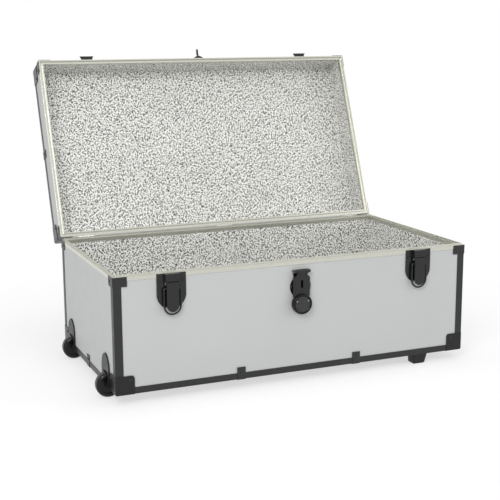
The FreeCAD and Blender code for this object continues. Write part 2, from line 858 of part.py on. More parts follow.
def hasp_plate():
    """A plate with a round lobe and two flared ears for the hasp's pin."""
    half = hasp_half_width
    rise = math.sqrt(hasp_lobe_radius ** 2 - half ** 2)
    top, neck, lobe = -hasp_plate_top, -hasp_plate_neck, -hasp_lobe_drop
    outline = [
        (-hasp_top_half, top), (-half, neck), (-half, lobe + rise),
        ((-hasp_lobe_radius, lobe), (-half, lobe - rise)),
        ((0, lobe - hasp_lobe_radius), (half, lobe - rise)),
        ((hasp_lobe_radius, lobe), (half, lobe + rise)), (half, neck), (hasp_top_half, top),
    ]
    axis = -hasp_axis_drop
    r = hasp_knuckle_radius
    inner = hasp_knuckle_half + side_gap
    root = hasp_plate_sheet
    knee = hasp_axis_out - r
    ear = [
        (0, top), (root, axis + r), (hasp_axis_out, axis + r),
        (hasp_axis_out, axis - r), (knee, axis - r), (0, neck),
    ]
    ears = []
    for x0, x1 in ((-hasp_top_half, -inner), (inner, hasp_top_half)):
        ears.append(bar(ear, x0, x1))
        ears.append(rod_x(x0, x1, hasp_axis_out, axis, r))
    flare = [(-hasp_top_half, top), (-half, neck), (half, neck), (hasp_top_half, top)]
    flared = fused(*ears).common(plate(flare, 0, hasp_axis_out + r))
    whole = fused(plate(outline, 0, hasp_plate_sheet), flared)
    reach = hasp_top_half + overrun
    return whole.cut(rod_x(-reach, reach, hasp_axis_out, axis, hasp_pin_radius + press_gap))


def hasp_strap():
    """A slotted strap that turns on its pin and carries the lock."""
    axis = -hasp_axis_drop
    inner = hasp_knuckle_half
    half = hasp_half_width
    rise = math.sqrt(lock_seat_radius ** 2 - half ** 2)
    shoulder = axis - hasp_shoulder
    outline = [
        (-inner, axis), (-inner, shoulder), (-half, shoulder - (half - inner)), (-half, lock_z + rise),
        ((0, lock_z - lock_seat_radius), (half, lock_z + rise)),
        (half, shoulder - (half - inner)), (inner, shoulder), (inner, axis),
    ]
    r = hasp_slot_width / 2
    high = axis - hasp_slot_start - r
    low = axis - hasp_slot_end + r
    slot = [(-r, high), (-r, low), ((0, low - r), (r, low)), (r, high), ((0, high + r), (-r, high))]
    knuckle = rod_x(-inner, inner, hasp_axis_out, axis, hasp_knuckle_radius)
    bore = rod_x(-inner - overrun, inner + overrun, hasp_axis_out, axis, hasp_pin_radius + running_gap)
    whole = fused(plate(outline, strap_back, strap_front), knuckle)
    return less(whole, plate(slot, strap_back - overrun, strap_front + overrun), bore)


def hasp_pin():
    """The hasp's pin, held in both ears."""
    reach = hasp_top_half - side_gap
    return rod_x(-reach, reach, hasp_axis_out, -hasp_axis_drop, hasp_pin_radius)


def lock_housing():
    """A round cup on the strap's hidden face, with the key plug's bore and the bolt's way out."""
    face = lock_back + lock_wall
    bevel = lock_edge_bevel
    bore = plug_radius + running_gap
    profile = [
        (bore, lock_back), (lock_radius - bevel, lock_back), (lock_radius, lock_back + bevel),
        (lock_radius, strap_back), (lock_cavity_radius, strap_back),
        (lock_cavity_radius, face), (bore, face),
    ]
    way = bolt_half_width + seat_gap
    exit_slot = block(-way, way, -strap_back, -bolt_back + seat_gap, lock_z, lock_z + lock_radius)
    return turned_out(profile, 0, lock_z).cut(exit_slot)


def lock_cover():
    """A round cover on the strap's outer face, with a half-round ring about a sunk face."""
    sunk = lock_front - lock_ring_rise
    crest = ((lock_radius + lock_face_radius) / 2, lock_front)
    profile = [
        (0, strap_front), (lock_radius, strap_front), (lock_radius, sunk),
        (crest, (lock_face_radius, sunk)), (0, sunk),
    ]
    return turned_out(profile, 0, lock_z)


def key_plug():
    """The turning plug with its keyway, and the cam pin on its inner end."""
    face = lock_back + lock_wall + running_gap
    inner = face + plug_flange_sheet
    profile = [
        (0, lock_back), (plug_radius, lock_back), (plug_radius, face), (plug_radius + plug_flange, face),
        (plug_radius + plug_flange, inner), (0, inner),
    ]
    angle = math.radians(45)
    pin_x = cam_offset * math.cos(angle)
    pin_z = lock_z - cam_offset * math.sin(angle)
    pin = rod_out(pin_x, inner, bolt_front, pin_z, cam_pin_radius)
    slit = block(
        -keyway_width / 2, keyway_width / 2, -lock_back - keyway_depth, -lock_back,
        lock_z - keyway_length / 2, lock_z + keyway_length / 2,
    )
    return fused(turned_out(profile, 0, lock_z), pin).cut(slit)


def lock_bolt():
    """A flat bolt that runs behind the strap, with a yoke for the cam pin."""
    half = bolt_half_width
    angle = math.radians(45)
    yoke_z = lock_z - cam_offset * math.sin(angle)
    slot_half = cam_pin_radius + yoke_gap
    slot_in = cam_offset * math.cos(angle) - slot_half
    slot_out = cam_offset + slot_half
    high = yoke_z + slot_half + yoke_wall
    low = yoke_z - slot_half - yoke_wall
    outline = [
        (-half, -hasp_axis_drop - bolt_tip), (-half, low), (slot_out + yoke_wall, low),
        (slot_out + yoke_wall, high), (half, high), (half, -hasp_axis_drop - bolt_tip),
    ]
    slot = block(slot_in, slot_out, -bolt_front, -bolt_back, yoke_z - slot_half, yoke_z + slot_half)
    return plate(outline, bolt_back, bolt_front).cut(slot)


def staple():
    """A plate on the lid with a notched finger that passes through the hasp's slot."""
    half = staple_half_width
    sheet = block(-half, half, -staple_sheet, 0, staple_low, staple_high)
    profile = [
        (-half, -staple_sheet), (half, -staple_sheet),
        (staple_mound_half, -staple_mound_out), (-staple_mound_half, -staple_mound_out),
    ]
    face = flat_face(profile, lambda p: FreeCAD.Vector(p[0], p[1], staple_low))
    mound = face.extrude(FreeCAD.Vector(0, 0, staple_mound_high - staple_low))
    flipped_front = 2 * hasp_axis_out - bolt_back
    flipped_back = 2 * hasp_axis_out - bolt_front
    notch_out = flipped_front + finger_notch_gap
    finger = [
        (staple_sheet, finger_low), (finger_out, finger_low), (finger_out, finger_tip_high),
        (notch_out, finger_high), (staple_sheet, finger_high),
    ]
    notch = block(
        -half, half, -notch_out, -flipped_back + finger_notch_gap,
        finger_high - finger_notch_depth, finger_high,
    )
    prong = bar(finger, -finger_thickness / 2, finger_thickness / 2).cut(notch)
    return fused(sheet, mound, prong)


def build_lock(lid_under):
    """Hasp, lock and staple at the middle of the front."""
    save("hasp_plate", on_wall(hasp_plate(), "front", 0, parting))
    save("hasp_pin", on_wall(hasp_pin(), "front", 0, parting))
    save("hasp_strap", on_wall(hasp_strap(), "front", 0, parting))
    save("lock_housing", on_wall(lock_housing(), "front", 0, parting))
    save("lock_cover", on_wall(lock_cover(), "front", 0, parting))
    save("key_plug", on_wall(key_plug(), "front", 0, parting))
    save("lock_bolt", on_wall(lock_bolt(), "front", 0, parting))
    save_lid("lock_staple", less(on_wall(staple(), "front", 0, parting), *lid_under))
    sunk = lock_front - lock_ring_rise
    dot_z = lock_z + lock_dot_rise
    dots = [rivet(side * lock_dot_spread, sunk, dot_z, lock_dot_radius) for side in (-1, 1)]
    save("lock_cover_rivets", *[on_wall(dot, "front", 0, parting) for dot in dots])
    heads = [rivet(side * hasp_rivet_out, hasp_plate_sheet, -hasp_lobe_drop) for side in (-1, 1)]
    lid_heads = [rivet(side * staple_rivet_spread, staple_sheet, staple_rivet_rise) for side in (-1, 1)]
    lower = [on_wall(head, "front", 0, parting) for head in heads]
    upper = [on_wall(head, "front", 0, parting) for head in lid_heads]
    return lower, upper


# Pull handle

def handle_bracket():
    """A plate with a knuckle for one end of the grip."""
    half = handle_bracket_width / 2
    high = handle_bracket_height / 2
    r = handle_bracket_corner
    short = r * (1 - math.sqrt(0.5))
    outline = [
        (-half, -high + r), ((-half + short, -high + short), (-half + r, -high)),
        (half - r, -high), ((half - short, -high + short), (half, -high + r)),
        (half, high - r), ((half - short, high - short), (half - r, high)),
        (-half + r, high), ((-half + short, high - short), (-half, high - r)),
    ]
    knuckle = rod_x(-half, half, handle_axis_out, 0, handle_knuckle_radius)
    neck = block(-half, half, -handle_axis_out, 0, -handle_knuckle_radius, handle_knuckle_radius)
    bore = rod_x(-half - overrun, half + overrun, handle_axis_out, 0, handle_pin_radius + running_gap)
    return fused(plate(outline, 0, handle_bracket_sheet), neck, knuckle).cut(bore)


def handle_grip():
    """A moulded loop with a thicker round grip, whose end pins turn in the brackets."""
    wide = handle_bracket_spread - handle_bracket_width / 2 - handle_arm_gap
    narrow = wide - handle_arm_width
    reach = handle_bracket_spread + handle_bracket_width / 2
    half = handle_arm_thickness / 2
    low = -handle_length - half
    high = -handle_length + half
    a, b = handle_outer_radius, handle_inner_radius
    a_short, b_short = a * (1 - math.sqrt(0.5)), b * (1 - math.sqrt(0.5))
    loop = [
        (-wide, 0), (-wide, low + a), ((-wide + a_short, low + a_short), (-wide + a, low)),
        (wide - a, low), ((wide - a_short, low + a_short), (wide, low + a)), (wide, 0),
        (narrow, 0), (narrow, high + b), ((narrow - b_short, high + b_short), (narrow - b, high)),
        (-narrow + b, high), ((-narrow + b_short, high + b_short), (-narrow, high + b)), (-narrow, 0),
    ]
    body = plate(loop, handle_axis_out - half, handle_axis_out + half)
    rims = [edge for edge in body.Edges if edge.BoundBox.YLength < half and edge.BoundBox.ZMin < -half]
    pieces = [body.makeFillet(handle_edge_radius, rims)]
    for side in (-1, 1):
        x0, x1 = sorted((side * narrow, side * wide))
        pieces.append(rod_x(x0, x1, handle_axis_out, 0, half))
        x0, x1 = sorted((side * narrow, side * reach))
        pieces.append(rod_x(x0, x1, handle_axis_out, 0, handle_pin_radius))
    end = narrow - b
    bar_end = end - handle_grip_bevel
    thin = handle_grip_radius - handle_grip_bevel
    profile = [
        (-end, 0), (-end, thin), (-bar_end, handle_grip_radius),
        (bar_end, handle_grip_radius), (end, thin), (end, 0),
    ]
    face = flat_face(profile, lambda p: FreeCAD.Vector(p[0], -handle_axis_out, p[1] - handle_length))
    pieces.append(face.revolve(FreeCAD.Vector(0, -handle_axis_out, -handle_length), X_AXIS, 360))
    return fused(*pieces)


def build_handle():
    """Two brackets and the grip on the right end."""
    z = parting - handle_drop
    places = (-handle_bracket_spread, handle_bracket_spread)
    save("handle_brackets", *[on_wall(handle_bracket(), "right", y, z) for y in places])
    save("handle_grip", on_wall(handle_grip(), "right", 0, z))
    heads = [rivet(0, handle_bracket_sheet, side * handle_rivet_rise) for side in (-1, 1)]
    return [on_wall(head, "right", y, z) for y in places for head in heads]


# Feet

def rounded(x, y, half_length, half_depth, radius, z):
    """A rectangle with round corners, as a wire."""
    short = radius * (1 - math.sqrt(0.5))
    a, b = half_length, half_depth
    path = [
        (-a, -b + radius), ((-a + short, -b + short), (-a + radius, -b)),
        (a - radius, -b), ((a - short, -b + short), (a, -b + radius)),
        (a, b - radius), ((a - short, b - short), (a - radius, b)),
        (-a + radius, b), ((-a + short, b - short), (-a, b - radius)),
    ]
    return flat_face(path, lambda p: FreeCAD.Vector(x + p[0], y + p[1], z)).OuterWire


def foot(side):
    """A moulded foot under the front or the rear edge, with its outer end sloped."""
    y = side * (half_y - foot_setback - foot_top_depth / 2)
    a, b = foot_top_length / 2, foot_top_depth / 2
    sole_x = foot_reach + (foot_draft - foot_slope) / 2
    sole_half = a - (foot_draft + foot_slope) / 2
    low = rounded(sole_x, y, sole_half, b - foot_draft, foot_corner_radius, 0)
    high = rounded(foot_reach, y, a, b, foot_corner_radius, board_low)
    whole = Part.makeLoft([low, high], True)
    sole = [edge for edge in whole.Edges if edge.BoundBox.ZMax < foot_sole_radius]
    return whole.makeFillet(foot_sole_radius, sole)


def build_feet(under):
    """Front and rear feet, seated on the bottom board and over the edge angles."""
    save("front_foot", less(foot(-1), *under))
    save("rear_foot", less(foot(1), *under))


os.makedirs("parts", exist_ok=True)
build_base_boards()
build_lid_boards()
base_under = base_metal()
lid_under = lid_metal()
build_wheels()
build_feet(base_under)
hinge_lower, hinge_upper = build_hinges()
latch_lower, latch_upper = build_latches(base_under)
lock_lower, lock_upper = build_lock(lid_under)
handle_heads = build_handle()
save("base_rivets", *(hinge_lower + latch_lower + lock_lower + handle_heads))
save_lid("lid_rivets", *(hinge_upper + latch_upper + lock_upper))
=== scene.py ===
"""Looks of a wheeled storage trunk: vinyl, flecked lining, metal edging, small hardware and a studio.

Metres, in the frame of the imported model: the origin is on the floor under the middle of the base,
+X runs to the end with the pull handle, -Y is the front with the latches, and +Z is up.
"""
import bpy
import json
import math
from mathutils import Matrix, Vector
from bpy.props import FloatProperty, FloatVectorProperty, PointerProperty


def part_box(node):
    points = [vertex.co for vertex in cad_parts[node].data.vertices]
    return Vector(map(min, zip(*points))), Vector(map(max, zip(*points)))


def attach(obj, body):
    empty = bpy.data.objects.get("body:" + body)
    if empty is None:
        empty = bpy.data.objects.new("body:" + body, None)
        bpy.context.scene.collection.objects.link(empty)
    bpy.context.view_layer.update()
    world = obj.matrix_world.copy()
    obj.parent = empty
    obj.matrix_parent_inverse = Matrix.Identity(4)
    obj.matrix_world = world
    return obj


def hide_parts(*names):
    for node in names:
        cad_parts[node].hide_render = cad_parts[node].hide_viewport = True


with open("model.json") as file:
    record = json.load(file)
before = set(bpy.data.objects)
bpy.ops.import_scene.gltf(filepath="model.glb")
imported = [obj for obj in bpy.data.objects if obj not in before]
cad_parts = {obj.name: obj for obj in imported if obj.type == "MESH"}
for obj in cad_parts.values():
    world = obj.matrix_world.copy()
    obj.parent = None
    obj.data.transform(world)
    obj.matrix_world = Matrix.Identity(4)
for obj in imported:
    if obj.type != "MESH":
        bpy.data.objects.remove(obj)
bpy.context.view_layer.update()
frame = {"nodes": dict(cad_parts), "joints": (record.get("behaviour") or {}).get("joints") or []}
NODES = frame["nodes"]
JOINTS = {joint["name"]: joint for joint in frame["joints"]}

bl_info = {
    "name": "Wheeled Storage Trunk",
    "version": (1, 0, 0),
    "blender": (4, 5, 0),
    "location": "View3D > Sidebar > Trunk",
    "description": "Dresses a wheeled storage trunk with its finishes and small hardware",
    "category": "Object",
}


# Settings

def colour(name, description, default):
    """A colour that a user may change."""
    return FloatVectorProperty(
        name=name, description=description, default=default, subtype="COLOR", size=3, min=0.0, max=1.0)


def length(name, description, default):
    """A length in metres that a user may change."""
    return FloatProperty(
        name=name, description=description, default=default, unit="LENGTH", min=0.0, precision=5)


def angle(name, description, degrees):
    """An angle that a user may change."""
    return FloatProperty(name=name, description=description, default=math.radians(degrees), subtype="ANGLE")


def power(name, description, watts):
    """A lamp's power that a user may change."""
    return FloatProperty(name=name, description=description, default=watts, unit="POWER")


class TrunkFinishes(bpy.types.PropertyGroup):
    """Colours of the trunk's materials."""
    vinyl: colour("Vinyl", "Covering of the boards", (0.555, 0.571, 0.566))
    paper: colour("Paper", "Ground of the lining paper", (0.88, 0.88, 0.845))
    fleck: colour("Fleck", "Large flecks printed on the lining", (0.012, 0.012, 0.012))
    speck: colour("Speck", "Small specks printed on the lining", (0.03, 0.03, 0.029))
    rim: colour("Rim", "Satin metal on the mating edges", (0.6, 0.6, 0.535))
    edging: colour("Edging", "Painted edge angles, clips and clamps", (0.015, 0.015, 0.0157))
    cap: colour("Cap", "Painted corner caps", (0.0085, 0.0085, 0.0088))
    hardware: colour("Hardware", "Painted latches, hasp and rivets", (0.011, 0.011, 0.0114))
    lock_face: colour("Lock face", "Dull face of the lock's cover", (0.046, 0.046, 0.047))
    plastic: colour("Plastic", "Moulded housings, feet and handle", (0.009, 0.009, 0.0094))
    wheel: colour("Wheel", "Moulded wheels", (0.006, 0.006, 0.006))
    nickel: colour("Nickel", "Plated hinges and their rivets", (0.62, 0.61, 0.57))
    pin: colour("Pin", "Plain steel pins, axles and lock rivets", (0.36, 0.36, 0.355))


class TrunkSizes(bpy.types.PropertyGroup):
    """Sizes of the small hardware and of the rounded edges."""
    tack_radius: length("Tack radius", "Radius of the tacks in caps, clips and clamps", 0.0031)
    tack_height: length("Tack height", "Height of a tack's dome", 0.0011)
    tack_inset: length("Tack inset", "Distance of a tack from the free edges of its cap or clamp", 0.0085)
    rivet_height: length("Rivet height", "Height of a rivet's dome", 0.0013)
    pin_head_radius: length("Pin head radius", "Radius of the heads on the latch pins", 0.0024)
    pin_head_height: length("Pin head height", "Height of the heads on the latch pins", 0.0005)
    axle_head_radius: length("Axle head radius", "Radius of the caps on the axle ends", 0.0046)
    axle_head_height: length("Axle head height", "Height of the caps on the axle ends", 0.0014)
    strap_half: length("Strap half width", "Half of the width of the hasp's strap", 0.015)
    strap_sheet: length("Strap sheet", "Thickness of the hasp's strap", 0.002)
    flank_radius: length("Flank radius", "Radius of the rounded flanks along the hasp's strap", 0.0035)
    flank_sheet: length("Flank sheet", "Thickness of the flanks", 0.0012)
    flank_start: length("Flank start", "Distance of the flanks' upper ends from the hasp's pin", 0.011)
    flank_end: length("Flank end", "Distance of the flanks' lower ends from the hasp's pin", 0.0505)
    sheet_edge: length("Sheet edge", "Rounding of the edges of thin sheet metal", 0.00025)
    pressed_edge: length("Pressed edge", "Rounding of the edges of pressed hardware", 0.0004)
    moulded_edge: length("Moulded edge", "Rounding of the edges of moulded plastic", 0.0008)


class TrunkStudio(bpy.types.PropertyGroup):
    """Camera and light."""
    azimuth: angle("Azimuth", "Camera's direction round the trunk, from the front", -22.838)
    elevation: angle("Elevation", "Camera's angle above the floor", 11.598)
    roll: angle("Roll", "Camera's turn about its own line of sight", -0.27)
    distance: length("Distance", "Camera's distance from the point it looks at", 2.2831)
    target: FloatVectorProperty(
        name="Target", description="Point that the camera looks at",
        default=(-0.0223, 0.0, 0.23271), subtype="TRANSLATION", unit="LENGTH")
    lens: FloatProperty(
        name="Lens", description="Focal length on a 36 mm sensor", default=77.17, unit="CAMERA")
    sky: FloatProperty(
        name="Sky", description="Strength of the surrounding soft light", default=0.6, min=0.0)
    key: power("Key", "Power of the large lamp over the front left", 52.0)
    fill: power("Fill", "Power of the large lamp at the front right", 18.0)
    top: power("Top", "Power of the large lamp overhead", 14.0)
    lamp_size: length("Lamp size", "Length of the lamps' sides", 1.5)
    floor_size: length("Floor size", "Length of the floor's sides", 40.0)


def finishes():
    """The trunk's colours."""
    return bpy.context.scene.trunk_finishes


def sizes():
    """The trunk's small sizes."""
    return bpy.context.scene.trunk_sizes


# Nodes

def place_node(tree, kind, inputs=None, **settings):
    """Adds a node to a tree; an input given as a socket is linked and any other is set."""
    node = tree.nodes.new(kind)
    for name, value in settings.items():
        setattr(node, name, value)
    for name, value in (inputs or {}).items():
        if isinstance(value, bpy.types.NodeSocket):
            tree.links.new(value, node.inputs[name])
        else:
            node.inputs[name].default_value = value
    return node


def add_node(tree, kind, inputs=None, **settings):
    """Adds a shader node in the same way."""
    return place_node(tree, "ShaderNode" + kind, inputs, **settings)


def new_material(name, metallic=0.0, specular=0.5):
    """A material, its node tree, its shader and the coordinates that its patterns follow."""
    material = bpy.data.materials.new(name)
    material.use_nodes = True
    tree = material.node_tree
    shader = tree.nodes["Principled BSDF"]
    shader.inputs["Metallic"].default_value = metallic
    shader.inputs["Specular IOR Level"].default_value = specular
    coords = add_node(tree, "TexCoord").outputs["Object"]
    return material, tree, shader, coords


def link(tree, socket, shader, name):
    """Links a pattern to one of the shader's inputs."""
    tree.links.new(socket, shader.inputs[name])


def noise(tree, coords, scale, detail=2.0):
    """A soft random pattern, with its scale in features a metre."""
    return add_node(tree, "TexNoise", {"Vector": coords, "Scale": scale, "Detail": detail}).outputs["Fac"]


def ranged(tree, value, low, high, start=0.3, end=0.7):
    """A value spread over a new range."""
    inputs = {"Value": value, "From Min": start, "From Max": end, "To Min": low, "To Max": high}
    return add_node(tree, "MapRange", inputs).outputs["Result"]


def switched(tree, share, off, on):
    """A value that goes from one to another as a share goes from nought to one."""
    return ranged(tree, share, off, on, start=0.0, end=1.0)


def above(tree, value, limit):
    """One where a value is above a limit, and nought elsewhere."""
    return add_node(tree, "Math", {0: value, 1: limit}, operation="GREATER_THAN").outputs[0]


# Places of a colour mix's sockets
MIX_FACTOR, MIX_FIRST, MIX_SECOND = 0, 6, 7
MIX_RESULT = 2


def mixed(tree, factor, first, second):
    """A colour between two, each a colour or a socket."""
    inputs = {MIX_FACTOR: factor, MIX_FIRST: first, MIX_SECOND: second}
    return add_node(tree, "Mix", inputs, data_type="RGBA").outputs[MIX_RESULT]


def shade_of(base, share):
    """A colour made darker or lighter by a share of itself."""
    return (*[min(1.0, part * share) for part in base], 1.0)


def mottled(tree, coords, base, scale, spread):
    """A colour that drifts a little darker and lighter over the surface."""
    drift = ranged(tree, noise(tree, coords, scale, detail=3.0), low=0.0, high=1.0)
    return mixed(tree, drift, shade_of(base, 1 - spread), shade_of(base, 1 + spread))


def bumped(tree, height, depth, strength):
    """A normal that follows a height pattern of a given depth in metres."""
    inputs = {"Height": height, "Distance": depth, "Strength": strength}
    return add_node(tree, "Bump", inputs).outputs["Normal"]


# Materials

# Cells of the leather grain in a metre of vinyl
VINYL_CELLS = 850.0


def vinyl_material():
    """Grey vinyl with a fine leather grain."""
    material, tree, shader, coords = new_material("grey vinyl", specular=0.35)
    link(tree, mottled(tree, coords, finishes().vinyl, scale=7.0, spread=0.012), shader, "Base Color")
    cells = add_node(tree, "TexVoronoi", {"Vector": coords, "Scale": VINYL_CELLS}, feature="SMOOTH_F1")
    pores = noise(tree, coords, scale=1700.0)
    grain = add_node(tree, "Math", {0: cells.outputs["Distance"], 1: pores}, operation="ADD").outputs[0]
    link(tree, bumped(tree, grain, depth=0.00012, strength=0.35), shader, "Normal")
    link(tree, ranged(tree, noise(tree, coords, scale=40.0), low=0.46, high=0.56), shader, "Roughness")
    return material


# Softness, stretch and raggedness of the printed flecks, and the look of the paper's walls
FLECK_EDGE = 0.05
FLECK_STRETCH = (1.0, 0.85, 1.0)
FLECK_RAGS = {"Scale": 520.0, "Detail": 2.0}
NOISE_MIDDLE = (0.5, 0.5, 0.5)
FACING = 0.5
PAPER_ROUGHNESS = 0.75


def fleck_layer(tree, coords, scale, smallest, largest):
    """A mask of scattered irregular flecks, with sizes as shares of the spacing."""
    cells = add_node(tree, "TexVoronoi", {"Vector": coords, "Scale": scale}, voronoi_dimensions="2D")
    parts = add_node(tree, "SeparateColor", {"Color": cells.outputs["Color"]})
    reach = switched(tree, parts.outputs[0], smallest, largest)
    inside = add_node(tree, "Math", {0: reach, 1: cells.outputs["Distance"]}, operation="SUBTRACT")
    return ranged(tree, inside.outputs[0], low=0.0, high=1.0, start=0.0, end=FLECK_EDGE)


def on_paper(tree, coords, tilt):
    """Flat coordinates on each wall of a lining that is turned by an angle about x."""
    turn = (tilt, 0.0, 0.0)
    level = add_node(tree, "Mapping", {"Vector": coords, "Rotation": turn}).outputs[0]
    inputs = {"Vector": coords.node.outputs["Normal"], "Rotation": turn}
    facing = add_node(tree, "Mapping", inputs, vector_type="VECTOR").outputs[0]
    facing = add_node(tree, "VectorMath", {0: facing}, operation="ABSOLUTE").outputs[0]
    place = add_node(tree, "SeparateXYZ", {"Vector": level}).outputs
    side = add_node(tree, "SeparateXYZ", {"Vector": facing}).outputs
    across = switched(tree, above(tree, side["X"], FACING), place["X"], place["Y"])
    along = switched(tree, above(tree, side["Z"], FACING), place["Z"], place["Y"])
    return add_node(tree, "CombineXYZ", {"X": across, "Y": along}).outputs[0]


def stretched(tree, coords, turn, wobble):
    """Coordinates drawn out along a turned axis and made uneven, for flecks that are long and ragged."""
    inputs = {"Vector": coords, "Rotation": (0.0, 0.0, turn), "Scale": FLECK_STRETCH}
    mapped = add_node(tree, "Mapping", inputs).outputs[0]
    ragged = add_node(tree, "TexNoise", {"Vector": coords, **FLECK_RAGS}).outputs["Color"]
    centred = add_node(tree, "VectorMath", {0: ragged, 1: NOISE_MIDDLE}, operation="SUBTRACT").outputs[0]
    scaled = add_node(tree, "VectorMath", {0: centred, "Scale": wobble}, operation="SCALE").outputs[0]
    return add_node(tree, "VectorMath", {0: mapped, 1: scaled}, operation="ADD").outputs[0]


def lining_material(name, tilt):
    """Pale paper printed with scattered dark flecks and smaller specks."""
    material, tree, shader, coords = new_material(name, specular=0.2)
    shader.inputs["Roughness"].default_value = PAPER_ROUGHNESS
    ground = mottled(tree, coords, finishes().paper, scale=25.0, spread=0.02)
    paper = on_paper(tree, coords, tilt)
    leaning = stretched(tree, paper, turn=0.5, wobble=0.00176)
    crossing = stretched(tree, paper, turn=2.1, wobble=0.00208)
    specks = fleck_layer(tree, leaning, scale=280.0, smallest=0.225, largest=0.405)
    flecks = fleck_layer(tree, crossing, scale=155.0, smallest=0.0, largest=0.3)
    printed = mixed(tree, specks, ground, shade_of(finishes().speck, 1))
    printed = mixed(tree, flecks, printed, shade_of(finishes().fleck, 1))
    link(tree, printed, shader, "Base Color")
    tooth = noise(tree, coords, scale=900.0, detail=3.0)
    link(tree, bumped(tree, tooth, depth=0.0001, strength=0.2), shader, "Normal")
    return material


# Brush lines in a metre, along and across the rim
BRUSH_ALONG = 9.0
BRUSH_ACROSS = 1500.0


def rim_material(name, tilt, side_start):
    """Satin metal brushed along each length; the end lengths start at a distance from the middle."""
    material, tree, shader, coords = new_material(name, metallic=0.9)
    level = add_node(tree, "Mapping", {"Vector": coords, "Rotation": (tilt, 0.0, 0.0)}).outputs[0]
    brush_x = (BRUSH_ALONG, BRUSH_ACROSS, BRUSH_ACROSS)
    brush_y = (BRUSH_ACROSS, BRUSH_ALONG, BRUSH_ACROSS)
    along = add_node(tree, "Mapping", {"Vector": level, "Scale": brush_x}).outputs[0]
    across = add_node(tree, "Mapping", {"Vector": level, "Scale": brush_y}).outputs[0]
    place = add_node(tree, "SeparateXYZ", {"Vector": coords}).outputs["X"]
    reach = add_node(tree, "Math", {0: place}, operation="ABSOLUTE").outputs[0]
    brushed = mixed(tree, above(tree, reach, side_start), along, across)
    lines = noise(tree, brushed, scale=1.0)
    link(tree, mottled(tree, coords, finishes().rim, scale=60.0, spread=0.02), shader, "Base Color")
    link(tree, ranged(tree, lines, low=0.2, high=0.34), shader, "Roughness")
    link(tree, bumped(tree, lines, depth=0.00003, strength=0.3), shader, "Normal")
    return material


def painted(name, base, low, high, peel_scale, peel_depth, specular):
    """Black paint or plastic with a faint peel and an uneven sheen between two values of roughness."""
    material, tree, shader, coords = new_material(name, specular=specular)
    link(tree, mottled(tree, coords, base, scale=120.0, spread=0.12), shader, "Base Color")
    link(tree, ranged(tree, noise(tree, coords, scale=70.0, detail=4.0), low, high), shader, "Roughness")
    peel = noise(tree, coords, peel_scale)
    link(tree, bumped(tree, peel, peel_depth, strength=0.3), shader, "Normal")
    return material


def edging_material():
    """Satin black paint on sheet metal."""
    return painted(
        "satin black edging", finishes().edging, low=0.34, high=0.44,
        peel_scale=900.0, peel_depth=0.00006, specular=0.45)


def cap_material():
    """Smoother black paint on the pressed corner caps."""
    return painted(
        "smooth black caps", finishes().cap, low=0.26, high=0.36,
        peel_scale=900.0, peel_depth=0.00006, specular=0.34)


def hardware_material():
    """Semi-gloss black paint on pressed hardware."""
    return painted(
        "semi-gloss black hardware", finishes().hardware, low=0.22, high=0.32,
        peel_scale=700.0, peel_depth=0.00005, specular=0.4)


def plastic_material():
    """Black moulded plastic with a fine spark texture."""
    return painted(
        "moulded black plastic", finishes().plastic, low=0.34, high=0.46,
        peel_scale=2200.0, peel_depth=0.00008, specular=0.35)


def metal_material(name, base, low, high):
    """Plated or plain metal with fine random scuffs, between two values of roughness."""
    material, tree, shader, coords = new_material(name, metallic=1.0)
    link(tree, mottled(tree, coords, base, scale=200.0, spread=0.05), shader, "Base Color")
    link(tree, ranged(tree, noise(tree, coords, scale=400.0, detail=4.0), low, high), shader, "Roughness")
    scuffs = noise(tree, coords, scale=1500.0)
    link(tree, bumped(tree, scuffs, depth=0.00003, strength=0.2), shader, "Normal")
    return material


def nickel_material():
    """Nickel plate."""
    return metal_material("nickel plate", finishes().nickel, low=0.22, high=0.36)


def pin_material():
    """Plain steel."""
    return metal_material("plain steel", finishes().pin, low=0.3, high=0.45)


def radius_about(tree, coords, node):
    """Distance from the middle of a round node whose axis runs front to back."""
    low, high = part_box(node)
    middle = (low + high) / 2
    hub = add_node(tree, "Mapping", {"Vector": coords, "Location": -middle}).outputs[0]
    flat = add_node(tree, "VectorMath", {0: hub, 1: (1.0, 0.0, 1.0)}, operation="MULTIPLY").outputs[0]
    return add_node(tree, "VectorMath", {0: flat}, operation="LENGTH").outputs["Value"]


# Share of the lock's radius inside its ring, and the share of the other hardware's colour that the gloss
# black ring gets, a darkening that is painted shade
LOCK_FACE_SHARE = 0.77
LOCK_RING_PAINTED_SHADE = 0.5


def lock_face_material():
    """A dull, finely pitted face inside a gloss black ring, whose colour is darkened as painted shade."""
    material, tree, shader, coords = new_material("pitted lock face", specular=0.2)
    low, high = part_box("lock_cover")
    edge = (high.x - low.x) / 2 * LOCK_FACE_SHARE
    ring = above(tree, radius_about(tree, coords, "lock_cover"), edge)
    face = mottled(tree, coords, finishes().lock_face, scale=400.0, spread=0.25)
    # The ring is gloss black paint; its colour, set at half the hardware's, is painted shade
    gloss = shade_of(finishes().hardware, LOCK_RING_PAINTED_SHADE)
    link(tree, mixed(tree, ring, face, gloss), shader, "Base Color")
    link(tree, switched(tree, ring, off=0.55, on=0.14), shader, "Roughness")
    depth = switched(tree, ring, off=1.0, on=0.1)
    grain = noise(tree, coords, scale=1300.0)
    pits = add_node(tree, "Math", {0: grain, 1: depth}, operation="MULTIPLY").outputs[0]
    link(tree, bumped(tree, pits, depth=0.00025, strength=0.5), shader, "Normal")
    return material


# Radians of the turning rings in a metre of the wheel's radius
WHEEL_RINGS = 9000.0


